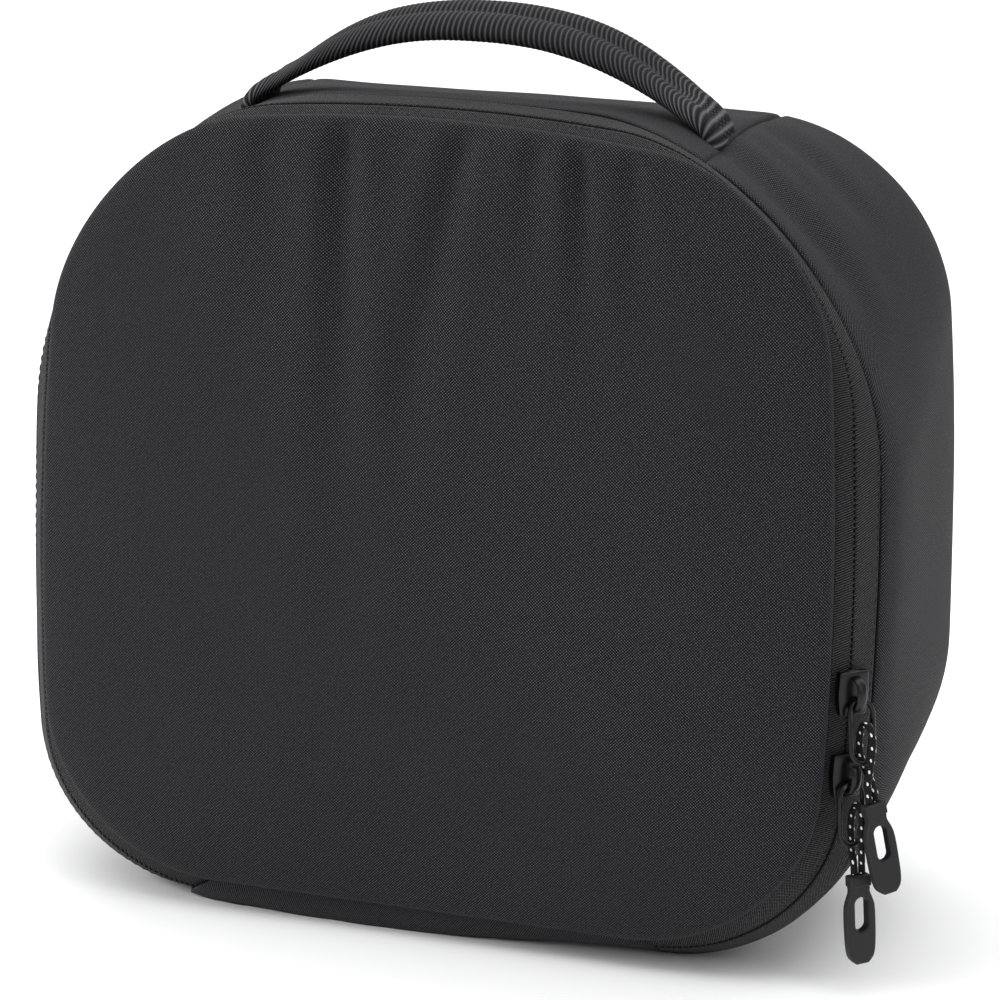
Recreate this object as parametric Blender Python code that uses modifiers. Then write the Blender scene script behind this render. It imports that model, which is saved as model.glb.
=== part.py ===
"""A padded goggle case: a domed lid panel on a zip, a padded wall, a back, a webbing handle and two zip pulls.

Metres, +Z up. The lid faces -Y. The origin is the middle of the flat base, on the floor.
"""
import math

import bmesh
import bpy
from mathutils import Matrix, Vector

# Driving sizes of the case
SEAM_WIDTH = 0.2248
SEAM_HEIGHT = 0.2208
DEPTH = 0.118
SEAM_LIFT = 0.012
CORNER_TOP = 0.048
CORNER_BOTTOM = 0.0514
TOP_CROWN = 0.0131
SIDE_BOW = 0.0069
FLARE = 0.005
SIDE_SWELL = 0.0172
TOP_RISE = 0.0085

# Lid and back
LID_DOME = 0.014
BACK_DOME = 0.005
GATHER_DEPTH = 0.0021
HINGE_SAG = 0.0046

# Walls
LID_THICK = 0.0065
LID_EDGE_THICK = 0.0022
TAPE_THICK = 0.0012
HINGE_THICK = 0.0018
WALL_THICK = 0.004
GAP = 0.0003

# Handle
HANDLE_SPAN = 0.149
HANDLE_RISE = 0.0300
HANDLE_WIDTH = 0.025
HANDLE_ROLL = 0.0095
HANDLE_FULL = 1.3
HANDLE_FLAT = 0.0035
HANDLE_BACK = 0.0425
HANDLE_ARCH = 2.3

# Sliders and their wire rings
SLIDER_UPPER_HEIGHT = 0.0915
SLIDER_LOWER_HEIGHT = 0.0667
SLIDER_WIDTH = 0.0102
SLIDER_LENGTH = 0.013
SLIDER_PLATE = 0.0026
BRIDGE_WIRE = 0.0013
BRIDGE_WIDTH = 0.0032
BRIDGE_REACH = 0.0048
BRIDGE_SLACK = 0.0006
RING_WIDTH = 0.0092
RING_LENGTH = 0.0195
RING_WIRE = 0.0014
RING_CLEAR = 0.0006
RING_SHIFT = 0.0012
RING_SWING = 0.0030
RING_HANG = 0.4

# Cords and tags
CORD = 0.0021
TAG_LENGTH = 0.027
TAG_WIDTH = 0.0106
TAG_THICK = 0.0034
TAG_LEAN_UPPER = 0.23
TAG_LEAN_LOWER = 0.08

FRONT = -DEPTH / 2
HALF_WIDTH = SEAM_WIDTH / 2

# The lid from its middle to the seam. Each row is a ring inside the seam's outline: inset
# as a share of half the seam's width, how far forward as a share of the dome, and its
# wall as a share of LID_THICK, thinner in the roll so that the wall can turn round it.
LID_ROWS = [
    {"inset": 0.92, "forward": 1.00, "wall": 1},
    {"inset": 0.72, "forward": 0.985, "wall": 1},
    {"inset": 0.52, "forward": 0.945, "wall": 1},
    {"inset": 0.36, "forward": 0.88, "wall": 1},
    {"inset": 0.23, "forward": 0.79, "wall": 1},
    {"inset": 0.135, "forward": 0.69, "wall": 0.88},
    {"inset": 0.07, "forward": 0.60, "wall": 0.68},
    {"inset": 0.028, "forward": 0.52, "wall": 0.5},
    {"inset": -0.006, "forward": 0.42, "wall": 0.39},
    {"inset": -0.018, "forward": 0.27, "wall": 0.36},
    {"inset": -0.012, "forward": 0.12, "wall": 0.35},
]

# The case from the seam to the back, one row for each section: back as a share of DEPTH,
# side of SIDE_SWELL, low of SEAM_LIFT, high of TOP_RISE, crown of TOP_CROWN, flare of FLARE,
# the corners' radii of CORNER_TOP and CORNER_BOTTOM on each side, and sag of HINGE_SAG.
WALL_ROWS = [
    {"name": "seam", "back": 0.0, "side": 0.0, "low": 0.0, "high": 0.0, "crown": 1.0, "flare": 1.0,
     "top_r": 1.0, "bottom_r": 1.0, "top_r_left": 1.16, "bottom_r_left": 0.98, "sag": 0.0},
    {"name": "chain", "back": 0.034, "side": 0.36, "low": 0.54, "high": 0.47, "crown": 1.0, "flare": 1.0,
     "top_r": 1.38, "bottom_r": 0.96, "top_r_left": 1.40, "bottom_r_left": 0.88, "sag": 1.0},
    {"name": "tape_edge", "back": 0.102, "side": 0.71, "low": 0.92, "high": 0.76, "crown": 0.95, "flare": 0.6,
     "top_r": 1.76, "bottom_r": 1.02, "top_r_left": 1.84, "bottom_r_left": 0.90, "sag": 0.2},
    {"name": "swell_1", "back": 0.186, "side": 0.92, "low": 1.0, "high": 0.88, "crown": 0.80, "flare": 0.4,
     "top_r": 1.88, "bottom_r": 1.14, "top_r_left": 1.98, "bottom_r_left": 1.02, "sag": 0.0},
    {"name": "swell_2", "back": 0.34, "side": 1.0, "low": 1.0, "high": 0.94, "crown": 0.57, "flare": 0.7,
     "top_r": 1.74, "bottom_r": 1.28, "top_r_left": 1.80, "bottom_r_left": 1.20, "sag": 0.0},
    {"name": "swell_3", "back": 0.55, "side": 1.0, "low": 1.0, "high": 1.0, "crown": 0.23, "flare": 1.3,
     "top_r": 1.48, "bottom_r": 1.46, "top_r_left": 1.50, "bottom_r_left": 1.42, "sag": 0.0},
    {"name": "swell_4", "back": 0.746, "side": 0.97, "low": 1.0, "high": 1.0, "crown": -0.04, "flare": 2.0,
     "top_r": 1.24, "bottom_r": 1.58, "top_r_left": 1.24, "bottom_r_left": 1.58, "sag": 0.0},
    {"name": "swell_5", "back": 0.864, "side": 0.88, "low": 1.0, "high": 0.94, "crown": -0.11, "flare": 2.3,
     "top_r": 1.16, "bottom_r": 1.62, "top_r_left": 1.16, "bottom_r_left": 1.62, "sag": 0.0},
    {"name": "edge", "back": 0.949, "side": 0.58, "low": 0.75, "high": 0.53, "crown": -0.11, "flare": 2.2,
     "top_r": 1.10, "bottom_r": 1.60, "top_r_left": 1.10, "bottom_r_left": 1.60, "sag": 0.0},
    {"name": "back_seam", "back": 1.0, "side": 0.12, "low": 0.25, "high": -0.35, "crown": -0.11, "flare": 2.0,
     "top_r": 1.08, "bottom_r": 1.56, "top_r_left": 1.08, "bottom_r_left": 1.56, "sag": 0.0},
]

# The back from its seam to its middle, as rings inside the back seam's outline
BACK_ROWS = [
    {"inset": 0.05, "dome": 0.35},
    {"inset": 0.16, "dome": 0.62},
    {"inset": 0.40, "dome": 0.86},
    {"inset": 0.70, "dome": 0.97},
    {"inset": 0.92, "dome": 1.0},
]

# Gathers along the lid's top: across as a share of HALF_WIDTH, length and width of
# SEAM_HEIGHT, depth of GATHER_DEPTH, lean as sideways run over length.
GATHERS = [
    {"across": -0.46, "length": 0.17, "width": 0.026, "depth": 0.8, "lean": 0.10},
    {"across": -0.30, "length": 0.42, "width": 0.030, "depth": 1.0, "lean": 0.05},
    {"across": 0.07, "length": 0.32, "width": 0.026, "depth": 1.0, "lean": -0.16},
    {"across": 0.28, "length": 0.20, "width": 0.020, "depth": 0.8, "lean": -0.08},
    {"across": 0.39, "length": 0.22, "width": 0.020, "depth": 0.9, "lean": -0.08},
    {"across": 0.53, "length": 0.15, "width": 0.018, "depth": 0.7, "lean": -0.05},
]

# Steps of an outline's stretches, for each half. The hinge band ends where the bottom's
# straight stretch does, and the handle's cross seam is where the top's last stretch starts.
BOTTOM_STEPS = 5
CORNER_STEPS = 8
SIDE_STEPS = 6
TOP_STEPS = 11
AROUND = 2 * (BOTTOM_STEPS + 2 * CORNER_STEPS + SIDE_STEPS + TOP_STEPS)
HINGE_END = BOTTOM_STEPS
HANDLE_SEAM = BOTTOM_STEPS + 2 * CORNER_STEPS + SIDE_STEPS

# Pull tag from its top: down as a share of TAG_LENGTH, half as a share of TAG_WIDTH
TAG_OUTLINE = [
    {"down": 0.0, "half": 0.34},
    {"down": 0.10, "half": 0.31},
    {"down": 0.20, "half": 0.34},
    {"down": 0.34, "half": 0.46},
    {"down": 0.50, "half": 0.50},
    {"down": 0.70, "half": 0.48},
    {"down": 0.84, "half": 0.40},
    {"down": 0.94, "half": 0.26},
    {"down": 1.0, "half": 0.10},
]
TAG_SLOT = {"down": 0.44, "half_length": 0.19, "half_width": 0.22}

# Cord loops, in metres: across the zip, out from it, and height above the floor
CORD_UPPER_ROUTE = [
    (0.00455, 0.0102, 0.0614),
    (0.0042, 0.0096, 0.0642),
    (0.0038, 0.0076, 0.0674),
    (0.0032, 0.0052, 0.0703),
    (0.0027, 0.0039, 0.0740),
    (0.0026, 0.0035, 0.0775),
    (0.0026, 0.0040, 0.0805),
    (0.0026, 0.0056, 0.0826),
    (0.0026, 0.0074, 0.0829),
    (0.0026, 0.0092, 0.0815),
    (0.0026, 0.0101, 0.0788),
    (0.0026, 0.0102, 0.0755),
    (0.0025, 0.0099, 0.0715),
    (0.0021, 0.0098, 0.0675),
    (0.0019, 0.0099, 0.0645),
    (0.00225, 0.0104, 0.0612),
]
CORD_LOWER_ROUTE = [
    (0.00075, 0.0070, 0.0388),
    (0.0007, 0.0066, 0.0414),
    (0.0013, 0.0045, 0.0443),
    (0.0017, 0.0032, 0.0475),
    (0.0018, 0.0026, 0.0515),
    (0.0018, 0.0029, 0.0550),
    (0.0018, 0.0042, 0.0578),
    (0.0018, 0.0056, 0.0584),
    (0.0018, 0.0070, 0.0576),
    (0.0018, 0.0079, 0.0550),
    (0.0018, 0.0082, 0.0515),
    (0.0020, 0.0083, 0.0470),
    (0.0023, 0.0080, 0.0443),
    (0.0028, 0.0075, 0.0415),
    (0.00305, 0.0074, 0.0390),
]
CORD_STEPS = 2


def clear_scene():
    for obj in list(bpy.data.objects):
        bpy.data.objects.remove(obj, do_unlink=True)


def material(name, color, roughness, metallic=0.0):
    mat = bpy.data.materials.new(name)
    mat.use_nodes = True
    shader = mat.node_tree.nodes["Principled BSDF"]
    shader.inputs["Base Color"].default_value = (*color, 1.0)
    shader.inputs["Roughness"].default_value = roughness
    shader.inputs["Metallic"].default_value = metallic
    return mat


def half_outline(width, low, high, top_r, bottom_r, crown, bow, flare, split):
    """Steps up one side of a rounded rectangle in x and z, from its bottom to its top middle.

    One of the steps is at x = split on its top, for the seam there.
    """
    tall = high - low
    flat = width - bottom_r
    top_flat = width - top_r
    split = split / (1 - flare / 2 / width)
    top_turn = math.acos(min(1.0, max(0.0, (split - top_flat) / top_r)))
    points = [(flat * i / BOTTOM_STEPS, 0.0) for i in range(BOTTOM_STEPS)]
    for i in range(CORNER_STEPS):
        turn = math.pi / 2 * i / CORNER_STEPS
        points.append((flat + bottom_r * math.sin(turn), bottom_r * (1 - math.cos(turn))))
    for i in range(SIDE_STEPS):
        points.append((width, bottom_r + (tall - top_r - bottom_r) * i / SIDE_STEPS))
    for i in range(CORNER_STEPS):
        turn = top_turn * i / CORNER_STEPS
        points.append((top_flat + top_r * math.cos(turn), tall - top_r * (1 - math.sin(turn))))
    for i in range(TOP_STEPS + 1):
        x = split * (1 - i / TOP_STEPS)
        past = max(0.0, x - top_flat)
        points.append((x, tall - top_r + math.sqrt(top_r * top_r - past * past)))
    placed = []
    for x, z in points:
        share = x / width
        up = z / tall
        lift = crown * (1 - share * share) * min(1.0, max(0.0, 2 * up - 1))
        swell = bow * 4 * up * (1 - up) * share + flare * (0.5 - up) * share
        placed.append((x + swell, low + z + lift))
    return placed


def outline(row, inset, keep):
    """The whole outline of a wall row, drawn in by inset with its curves scaled by keep."""
    halves = []
    for side in ("", "_left"):
        halves.append(half_outline(
            HALF_WIDTH + SIDE_SWELL * row["side"] - inset,
            SEAM_LIFT * (1 - row["low"]) + inset,
            SEAM_LIFT + SEAM_HEIGHT + TOP_RISE * row["high"] - inset,
            CORNER_TOP * row["top_r" + side] * keep,
            CORNER_BOTTOM * row["bottom_r" + side] * keep,
            TOP_CROWN * row["crown"] * keep,
            SIDE_BOW * keep,
            FLARE * row["flare"] * keep,
            HANDLE_SPAN / 2 * keep,
        ))
    right, left = halves
    return right + [(-x, z) for x, z in reversed(left[1:-1])]


def hinge_bulge(x, z):
    """The share of its sag that the hinge band has at a place: it bulges on the left."""
    place = (x / HALF_WIDTH + 0.14) / 0.74
    if z > SEAM_HEIGHT / 4 or abs(place) > 1:
        return 0.0
    return math.cos(place * math.pi / 2) * (1 - 4 * z / SEAM_HEIGHT)


def wall_ring(row):
    depth = FRONT + DEPTH * row["back"]
    sag = HINGE_SAG * row["sag"]
    ring = []
    for x, z in outline(row, 0.0, 1.0):
        ring.append(Vector((x, depth, max(0.0, z - sag * hinge_bulge(x, z)))))
    return ring


def inner_ring(row, inset_share, depth):
    """A ring inside a wall row's outline, with every curve of it scaled with the ring."""
    points = outline(row, HALF_WIDTH * inset_share, 1 - max(inset_share, 0))
    return [Vector((x, depth, z)) for x, z in points]


def gather_depth(x, z):
    """How far a gather presses the lid back at a point of its face."""
    top = SEAM_LIFT + SEAM_HEIGHT + TOP_CROWN * (1 - (x / HALF_WIDTH) ** 2)
    down = max(0.0, top - z)
    total = 0.0
    for row in GATHERS:
        length = SEAM_HEIGHT * row["length"]
        middle = HALF_WIDTH * row["across"] + row["lean"] * down
        width = SEAM_HEIGHT * row["width"] * (1 + down / length)
        fade = max(0.0, 1 - down / length) ** 1.5
        total += row["depth"] * fade * math.exp(-(((x - middle) / width) ** 2))
    return GATHER_DEPTH * total


def case_rings():
    """All rings of the case's skin, from the lid's middle over the seam to the back's middle."""
    seam = WALL_ROWS[0]
    rings = []
    for row in LID_ROWS:
        ring = inner_ring(seam, row["inset"], FRONT - LID_DOME * row["forward"])
        for point in ring:
            point.y += gather_depth(point.x, point.z) * min(1.0, row["forward"] / 0.5)
        rings.append(ring)
    rings += [wall_ring(row) for row in WALL_ROWS]
    last = WALL_ROWS[-1]
    for row in BACK_ROWS:
        rings.append(inner_ring(last, row["inset"], FRONT + DEPTH + BACK_DOME * row["dome"]))
    return rings


def ring_normals(rings):
    """Outward normals of the skin at each point, from its neighbours on four sides."""
    normals = []
    for j, ring in enumerate(rings):
        ahead = rings[min(j + 1, len(rings) - 1)]
        behind = rings[max(j - 1, 0)]
        row = []
        for i in range(len(ring)):
            along = ring[(i + 1) % len(ring)] - ring[i - 1]
            across = ahead[i] - behind[i]
            row.append(across.cross(along).normalized())
        normals.append(row)
    return normals


RINGS = case_rings()
NORMALS = ring_normals(RINGS)
ROW = {row["name"]: len(LID_ROWS) + i for i, row in enumerate(WALL_ROWS)}
SEAM = ROW["seam"]
CHAIN = ROW["chain"]
TAPE_EDGE = ROW["tape_edge"]
BACK_SEAM = ROW["back_seam"]


def blend(row, place):
    """A row's value at a place between two of its points, as place runs round the ring."""
    first = math.floor(place)
    share = place - first
    return row[first % AROUND] * (1 - share) + row[(first + 1) % AROUND] * share


def skin_grid(first, last, stretch):
    """Points and normals of the skin from ring first to ring last, cut back by half a gap.

    With a stretch it is the strip between those two places round the rings.
    """
    points = []
    normals = []
    for j in range(first, last + 1):
        places = list(range(AROUND))
        if stretch:
            start, stop = stretch
            places = list(range(start, stop + 1))
            places[0] += GAP / 2 / (blend(RINGS[j], start + 1) - blend(RINGS[j], start)).length
            places[-1] -= GAP / 2 / (blend(RINGS[j], stop) - blend(RINGS[j], stop - 1)).length
        row = [blend(RINGS[j], p) for p in places]
        inward = 0
        if j == first and first > 0:
            inward = 1
        if j == last and last < len(RINGS) - 1:
            inward = -1
        if inward:
            for i, p in enumerate(places):
                along = blend(RINGS[j], p + 0.5) - blend(RINGS[j], p - 0.5)
                back = along.cross(blend(NORMALS[j], p)).normalized()
                row[i] = row[i] + back * inward * GAP / 2
        points.append(row)
        normals.append([blend(NORMALS[j], p).normalized() for p in places])
    return points, normals


def new_object(name, mesh, mat, collection, smooth=True):
    obj = bpy.data.objects.new(name, mesh)
    mesh.materials.append(mat)
    if smooth:
        mesh.shade_smooth()
        mesh.set_sharp_from_angle(angle=math.radians(50))
    collection.objects.link(obj)
    return obj


def skin_piece(name, mat, collection, first, last, thickness, stretch=None):
    """A closed wall of the given thickness, one value or one for each ring, under the skin.

    The grid's two ends are closed by a rim, or by a fan where they are the case's middle.
    """
    outer, normals = skin_grid(first, last, stretch)
    mesh = bmesh.new()
    out = [[mesh.verts.new(p) for p in row] for row in outer]
    inn = []
    if isinstance(thickness, float):
        thickness = [thickness] * len(outer)
    for row, up, wall in zip(outer, normals, thickness):
        inn.append([mesh.verts.new(p - n * wall) for p, n in zip(row, up)])
    count = len(out[0])
    closed = stretch is None
    for j in range(len(out) - 1):
        for i in range(count if closed else count - 1):
            k = (i + 1) % count
            mesh.faces.new((out[j][i], out[j][k], out[j + 1][k], out[j + 1][i]))
            mesh.faces.new((inn[j][i], inn[j + 1][i], inn[j + 1][k], inn[j][k]))
    for j, middle in ((0, first == 0), (len(out) - 1, last == len(RINGS) - 1)):
        if middle:
            for row in (out[j], inn[j]):
                heart = mesh.verts.new(sum((v.co for v in row), Vector()) / count)
                for i in range(count):
                    mesh.faces.new((row[i], row[(i + 1) % count], heart))
        else:
            for i in range(count if closed else count - 1):
                k = (i + 1) % count
                mesh.faces.new((out[j][i], out[j][k], inn[j][k], inn[j][i]))
    if not closed:
        for j in range(len(out) - 1):
            mesh.faces.new((out[j][0], out[j + 1][0], inn[j + 1][0], inn[j][0]))
            mesh.faces.new((out[j][-1], out[j + 1][-1], inn[j + 1][-1], inn[j][-1]))
    bmesh.ops.recalc_face_normals(mesh, faces=mesh.faces)
    data = bpy.data.meshes.new(name)
    mesh.to_mesh(data)
    mesh.free()
    return new_object(name, data, mat, collection)


def skin_height(x, y):
    """The height of the case's top at a place, on the skin between its rings."""
    depths = [ring[0].y for ring in RINGS[SEAM:BACK_SEAM + 1]]
    j = max(k for k, depth in enumerate(depths) if depth <= y)
    j = min(j, len(depths) - 2)
    share = (y - depths[j]) / (depths[j + 1] - depths[j])
    lower, upper = RINGS[SEAM + j], RINGS[SEAM + j + 1]
    ring = [a * (1 - share) + b * share for a, b in zip(lower, upper)]
    for i in range(HANDLE_SEAM - CORNER_STEPS, AROUND - HANDLE_SEAM + CORNER_STEPS):
        right, left = ring[i], ring[i + 1]
        if left.x <= x <= right.x:
            part = (right.x - x) / (right.x - left.x)
            return right.z * (1 - part) + left.z * part
    return ring[AROUND // 2].z


def handle_section(roll):
    """Points across the webbing and up from its middle: two rolls side by side."""
    steps = 10
    points = []
    for side in (1, -1):
        for i in range(steps):
            turn = -math.pi / 2 + math.pi * (i + 0.5) / steps
            if side < 0:
                turn += math.pi
            across = side * HANDLE_WIDTH / 4 + HANDLE_WIDTH / 4 * math.cos(turn)
            points.append((across, roll / 2 * math.sin(turn)))
    return points


def handle_roll(share):
    """The rolls' thickness at a share of the half span: fuller near the root, then flat."""
    if share < 0.20:
        return HANDLE_ROLL
    if share < 0.90:
        full = min(1.0, (share - 0.20) / 0.50)
        return HANDLE_ROLL * (1 + (HANDLE_FULL - 1) * full * full * (3 - 2 * full))
    flat = (share - 0.90) / 0.10
    return HANDLE_ROLL * HANDLE_FULL * (1 - flat) + HANDLE_FLAT * flat


def make_handle(mat, collection):
    """Sections along an arch. At each root the last one lies on the case's top."""
    steps = 24
    mesh = bmesh.new()
    loops = []
    middle = FRONT + HANDLE_BACK
    half = HANDLE_SPAN / 2
    root = skin_height(half, middle) + 2 * GAP
    for i in range(steps + 1):
        turn = -1 + 2 * i / steps
        share = math.sin(turn * math.pi / 2)
        x = half * share
        z = root + HANDLE_RISE * (1 - abs(share) ** HANDLE_ARCH)
        slope = -HANDLE_RISE / half * HANDLE_ARCH * abs(share) ** (HANDLE_ARCH - 1)
        slope = math.copysign(slope, -share) if share else 0.0
        near = max(0.0, (abs(share) - 0.75) / 0.25)
        roll = handle_roll(abs(share))
        tilt = Vector((slope, 0, 1)).normalized()
        flat = Vector((math.copysign(1, share), 0, 0))
        up = (tilt * (1 - near ** 3) + flat * near ** 3).normalized()
        loop = []
        for across, lift in handle_section(roll):
            point = Vector((x, middle + across, z)) + up * lift
            point.x -= math.copysign(HANDLE_FLAT, share) * near ** 3 / 2
            floor = skin_height(point.x, point.y) + 2 * GAP
            if i in (0, steps):
                point.z = floor
            loop.append(mesh.verts.new((point.x, point.y, max(point.z, floor))))
        loops.append(loop)
    count = len(loops[0])
    for a, b in zip(loops, loops[1:]):
        for i in range(count):
            k = (i + 1) % count
            mesh.faces.new((a[i], a[k], b[k], b[i]))
    mesh.faces.new(loops[0])
    mesh.faces.new(loops[-1])
    bmesh.ops.recalc_face_normals(mesh, faces=mesh.faces)
    bmesh.ops.triangulate(mesh, faces=[f for f in mesh.faces if len(f.verts) > 4])
    data = bpy.data.meshes.new("handle")
    mesh.to_mesh(data)
    mesh.free()
    return new_object("handle", data, mat, collection)


def zip_frame(height):
    """The zip's line at a height on the right side: its point, and across and out of it."""
    ring = RINGS[CHAIN]
    for i in range(BOTTOM_STEPS, AROUND // 2):
        low, high = ring[i], ring[i + 1]
        if low.z <= height <= high.z:
            place = i + (height - low.z) / (high.z - low.z)
            break
    point = blend(ring, place)
    across = blend(RINGS[TAPE_EDGE], place) - blend(RINGS[SEAM], place)
    across.z = 0
    across.normalize()
    out = across.cross(Vector((0, 0, 1)))
    return point, across, out


def place_matrix(point, side, up, face):
    """The matrix that lays local x, y and z along side, up and face at a point."""
    turn = Matrix((side, up, face)).transposed()
    return Matrix.Translation(point) @ turn.to_4x4()


def curve_tube(name, points, radius, collection, cyclic=False, resolution=2):
    curve = bpy.data.curves.new(name, "CURVE")
    curve.dimensions = "3D"
    curve.bevel_depth = radius
    curve.bevel_resolution = resolution
    curve.use_fill_caps = True
    line = curve.splines.new("POLY")
    line.points.add(len(points) - 1)
    for spot, point in zip(line.points, points):
        spot.co = (*point, 1)
    line.use_cyclic_u = cyclic
    obj = bpy.data.objects.new(name, curve)
    collection.objects.link(obj)
    return obj


def as_mesh(obj):
    """The same shape as a mesh with its caps welded, in place of a curve."""
    graph = bpy.context.evaluated_depsgraph_get()
    data = bpy.data.meshes.new_from_object(obj.evaluated_get(graph))
    mesh = bmesh.new()
    mesh.from_mesh(data)
    bmesh.ops.remove_doubles(mesh, verts=mesh.verts, dist=0.000001)
    bmesh.ops.recalc_face_normals(mesh, faces=mesh.faces)
    mesh.to_mesh(data)
    mesh.free()
    name = obj.name
    where = obj.matrix_world.copy()
    home = obj.users_collection[0]
    bpy.data.objects.remove(obj, do_unlink=True)
    made = bpy.data.objects.new(name, data)
    made.matrix_world = where
    home.objects.link(made)
    return made


def make_slider(name, height, mat, collection, helpers):
    """A slider's upper plate over the zip, with the arch that holds its ring."""
    point, across, out = zip_frame(height)
    up = out.cross(across)
    bpy.ops.mesh.primitive_cube_add(size=1)
    plate = bpy.context.object
    plate.name = name
    plate.data.transform(Matrix.Diagonal((SLIDER_WIDTH, SLIDER_LENGTH, SLIDER_PLATE, 1)))
    plate.data.transform(Matrix.Translation((0, 0, GAP + SLIDER_PLATE / 2)))
    for owner in list(plate.users_collection):
        owner.objects.unlink(plate)
    collection.objects.link(plate)
    plate.matrix_world = place_matrix(point, across, up, out)
    plate.data.materials.append(mat)
    bevel = plate.modifiers.new("edges", "BEVEL")
    bevel.width = SLIDER_PLATE * 0.3
    bevel.segments = 2
    base = GAP + SLIDER_PLATE / 2
    rise = SLIDER_PLATE / 2 + RING_WIRE + 2 * RING_CLEAR + BRIDGE_SLACK + BRIDGE_WIRE / 2
    arch = []
    for i in range(9):
        turn = math.pi * i / 8
        lift = rise * max(0.0, math.sin(turn)) ** 0.6
        arch.append((0, BRIDGE_REACH * math.cos(turn), base + lift))
    bridge = curve_tube(name + "_bridge", arch, BRIDGE_WIRE / 2, helpers, resolution=1)
    bridge = as_mesh(bridge)
    bridge.data.transform(Matrix.Diagonal((BRIDGE_WIDTH / BRIDGE_WIRE, 1, 1, 1)))
    bridge.matrix_world = plate.matrix_world.copy()
    bridge.hide_render = True
    bridge.display_type = "WIRE"
    union = plate.modifiers.new("bridge", "BOOLEAN")
    union.operation = "UNION"
    union.solver = "EXACT"
    union.object = bridge
    return plate


def make_ring(name, height, shift, swing, mat, collection):
    """A long wire ring through a slider's bridge. swing is how far its foot stands out."""
    point, across, out = zip_frame(height)
    seat = GAP + SLIDER_PLATE + RING_CLEAR + RING_WIRE / 2
    hang = BRIDGE_REACH * RING_HANG
    half = RING_WIDTH / 2 - RING_WIRE / 2
    straight = RING_LENGTH / 2 - RING_WIRE / 2 - half
    top = point + out * seat + across * shift - Vector((0, 0, hang))
    down = (out * swing - Vector((0, 0, RING_LENGTH - RING_WIRE))).normalized()
    middle = top + down * (RING_LENGTH / 2 - RING_WIRE / 2)
    path = []
    for end in (1, -1):
        for i in range(9):
            turn = math.pi * i / 8
            side = half * math.cos(turn) * end
            along = -(straight + half * math.sin(turn)) * end
            path.append(middle + across * side + down * along)
    ring = curve_tube(name, path, RING_WIRE / 2, collection, cyclic=True, resolution=1)
    ring.data.materials.append(mat)
    return ring


def smooth_path(points, steps):
    """A smooth curve through the points, with steps stretches between each two of them."""
    path = []
    for i in range(len(points) - 1):
        before = points[max(i - 1, 0)]
        after = points[min(i + 2, len(points) - 1)]
        start, end = points[i], points[i + 1]
        for k in range(steps):
            t = k / steps
            a = start * 2 + (end - before) * t
            b = (before * 2 - start * 5 + end * 4 - after) * t ** 2
            c = (start * 3 - before - end * 3 + after) * t ** 3
            path.append((a + b + c) / 2)
    path.append(points[-1].copy())
    return path


def pull_frame(route, lean):
    """The cord's points in the case's own frame, and the tag's top, side and down.

    Both ends of the cord are drawn out to one plane square to the tag, a gap above it.
    """
    point, across, out = zip_frame(SLIDER_LOWER_HEIGHT)
    base = Vector((point.x, point.y, 0))
    points = [base + across * a + out * o + Vector((0, 0, z)) for a, o, z in route]
    down = Vector((lean, 0, -1)).normalized()
    side = (across - down * across.dot(down)).normalized()
    reach = max(points[0].dot(down), points[-1].dot(down)) + CORD / 4
    start = points[0] + down * (reach - points[0].dot(down))
    end = points[-1] + down * (reach - points[-1].dot(down))
    return start, points, end, side, down


def make_cord(name, route, lean, mat, collection):
    start, points, end, side, down = pull_frame(route, lean)
    path = [start] + smooth_path(points, CORD_STEPS) + [end]
    cord = curve_tube(name, path, CORD / 2, collection)
    cord.data.materials.append(mat)
    return cord


def make_tag(name, route, lean, mat, collection):
    """A flat moulded tag with a slot, whose top is under the cord's two ends."""
    start, points, end, side, down = pull_frame(route, lean)
    face = side.cross(down)
    top = (start + end) / 2 + down * GAP
    curve = bpy.data.curves.new(name, "CURVE")
    curve.dimensions = "2D"
    curve.fill_mode = "BOTH"
    curve.bevel_depth = TAG_THICK * 0.16
    curve.bevel_resolution = 1
    curve.extrude = TAG_THICK / 2 - curve.bevel_depth
    edge = curve.bevel_depth
    right = [(row["half"] * TAG_WIDTH - edge, row["down"] * TAG_LENGTH) for row in TAG_OUTLINE]
    right[0] = (right[0][0], edge)
    right[-1] = (right[-1][0], TAG_LENGTH - edge)
    rim = right + [(-x, y) for x, y in reversed(right)]
    slot = []
    for i in range(16):
        turn = 2 * math.pi * i / 16
        long = TAG_SLOT["half_length"] * TAG_LENGTH
        wide = TAG_SLOT["half_width"] * TAG_WIDTH
        end = (long - wide) * (1 if math.sin(turn) > 0 else -1)
        y = TAG_SLOT["down"] * TAG_LENGTH + end + (wide + edge) * math.sin(turn)
        slot.append(((wide + edge) * math.cos(turn), y))
    for outline_points in (rim, slot):
        line = curve.splines.new("POLY")
        line.points.add(len(outline_points) - 1)
        for spot, (x, y) in zip(line.points, outline_points):
            spot.co = (x, y, 0, 1)
        line.use_cyclic_u = True
    obj = bpy.data.objects.new(name, curve)
    collection.objects.link(obj)
    obj.matrix_world = place_matrix(top, side, down, face)
    curve.materials.append(mat)
    return obj


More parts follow.
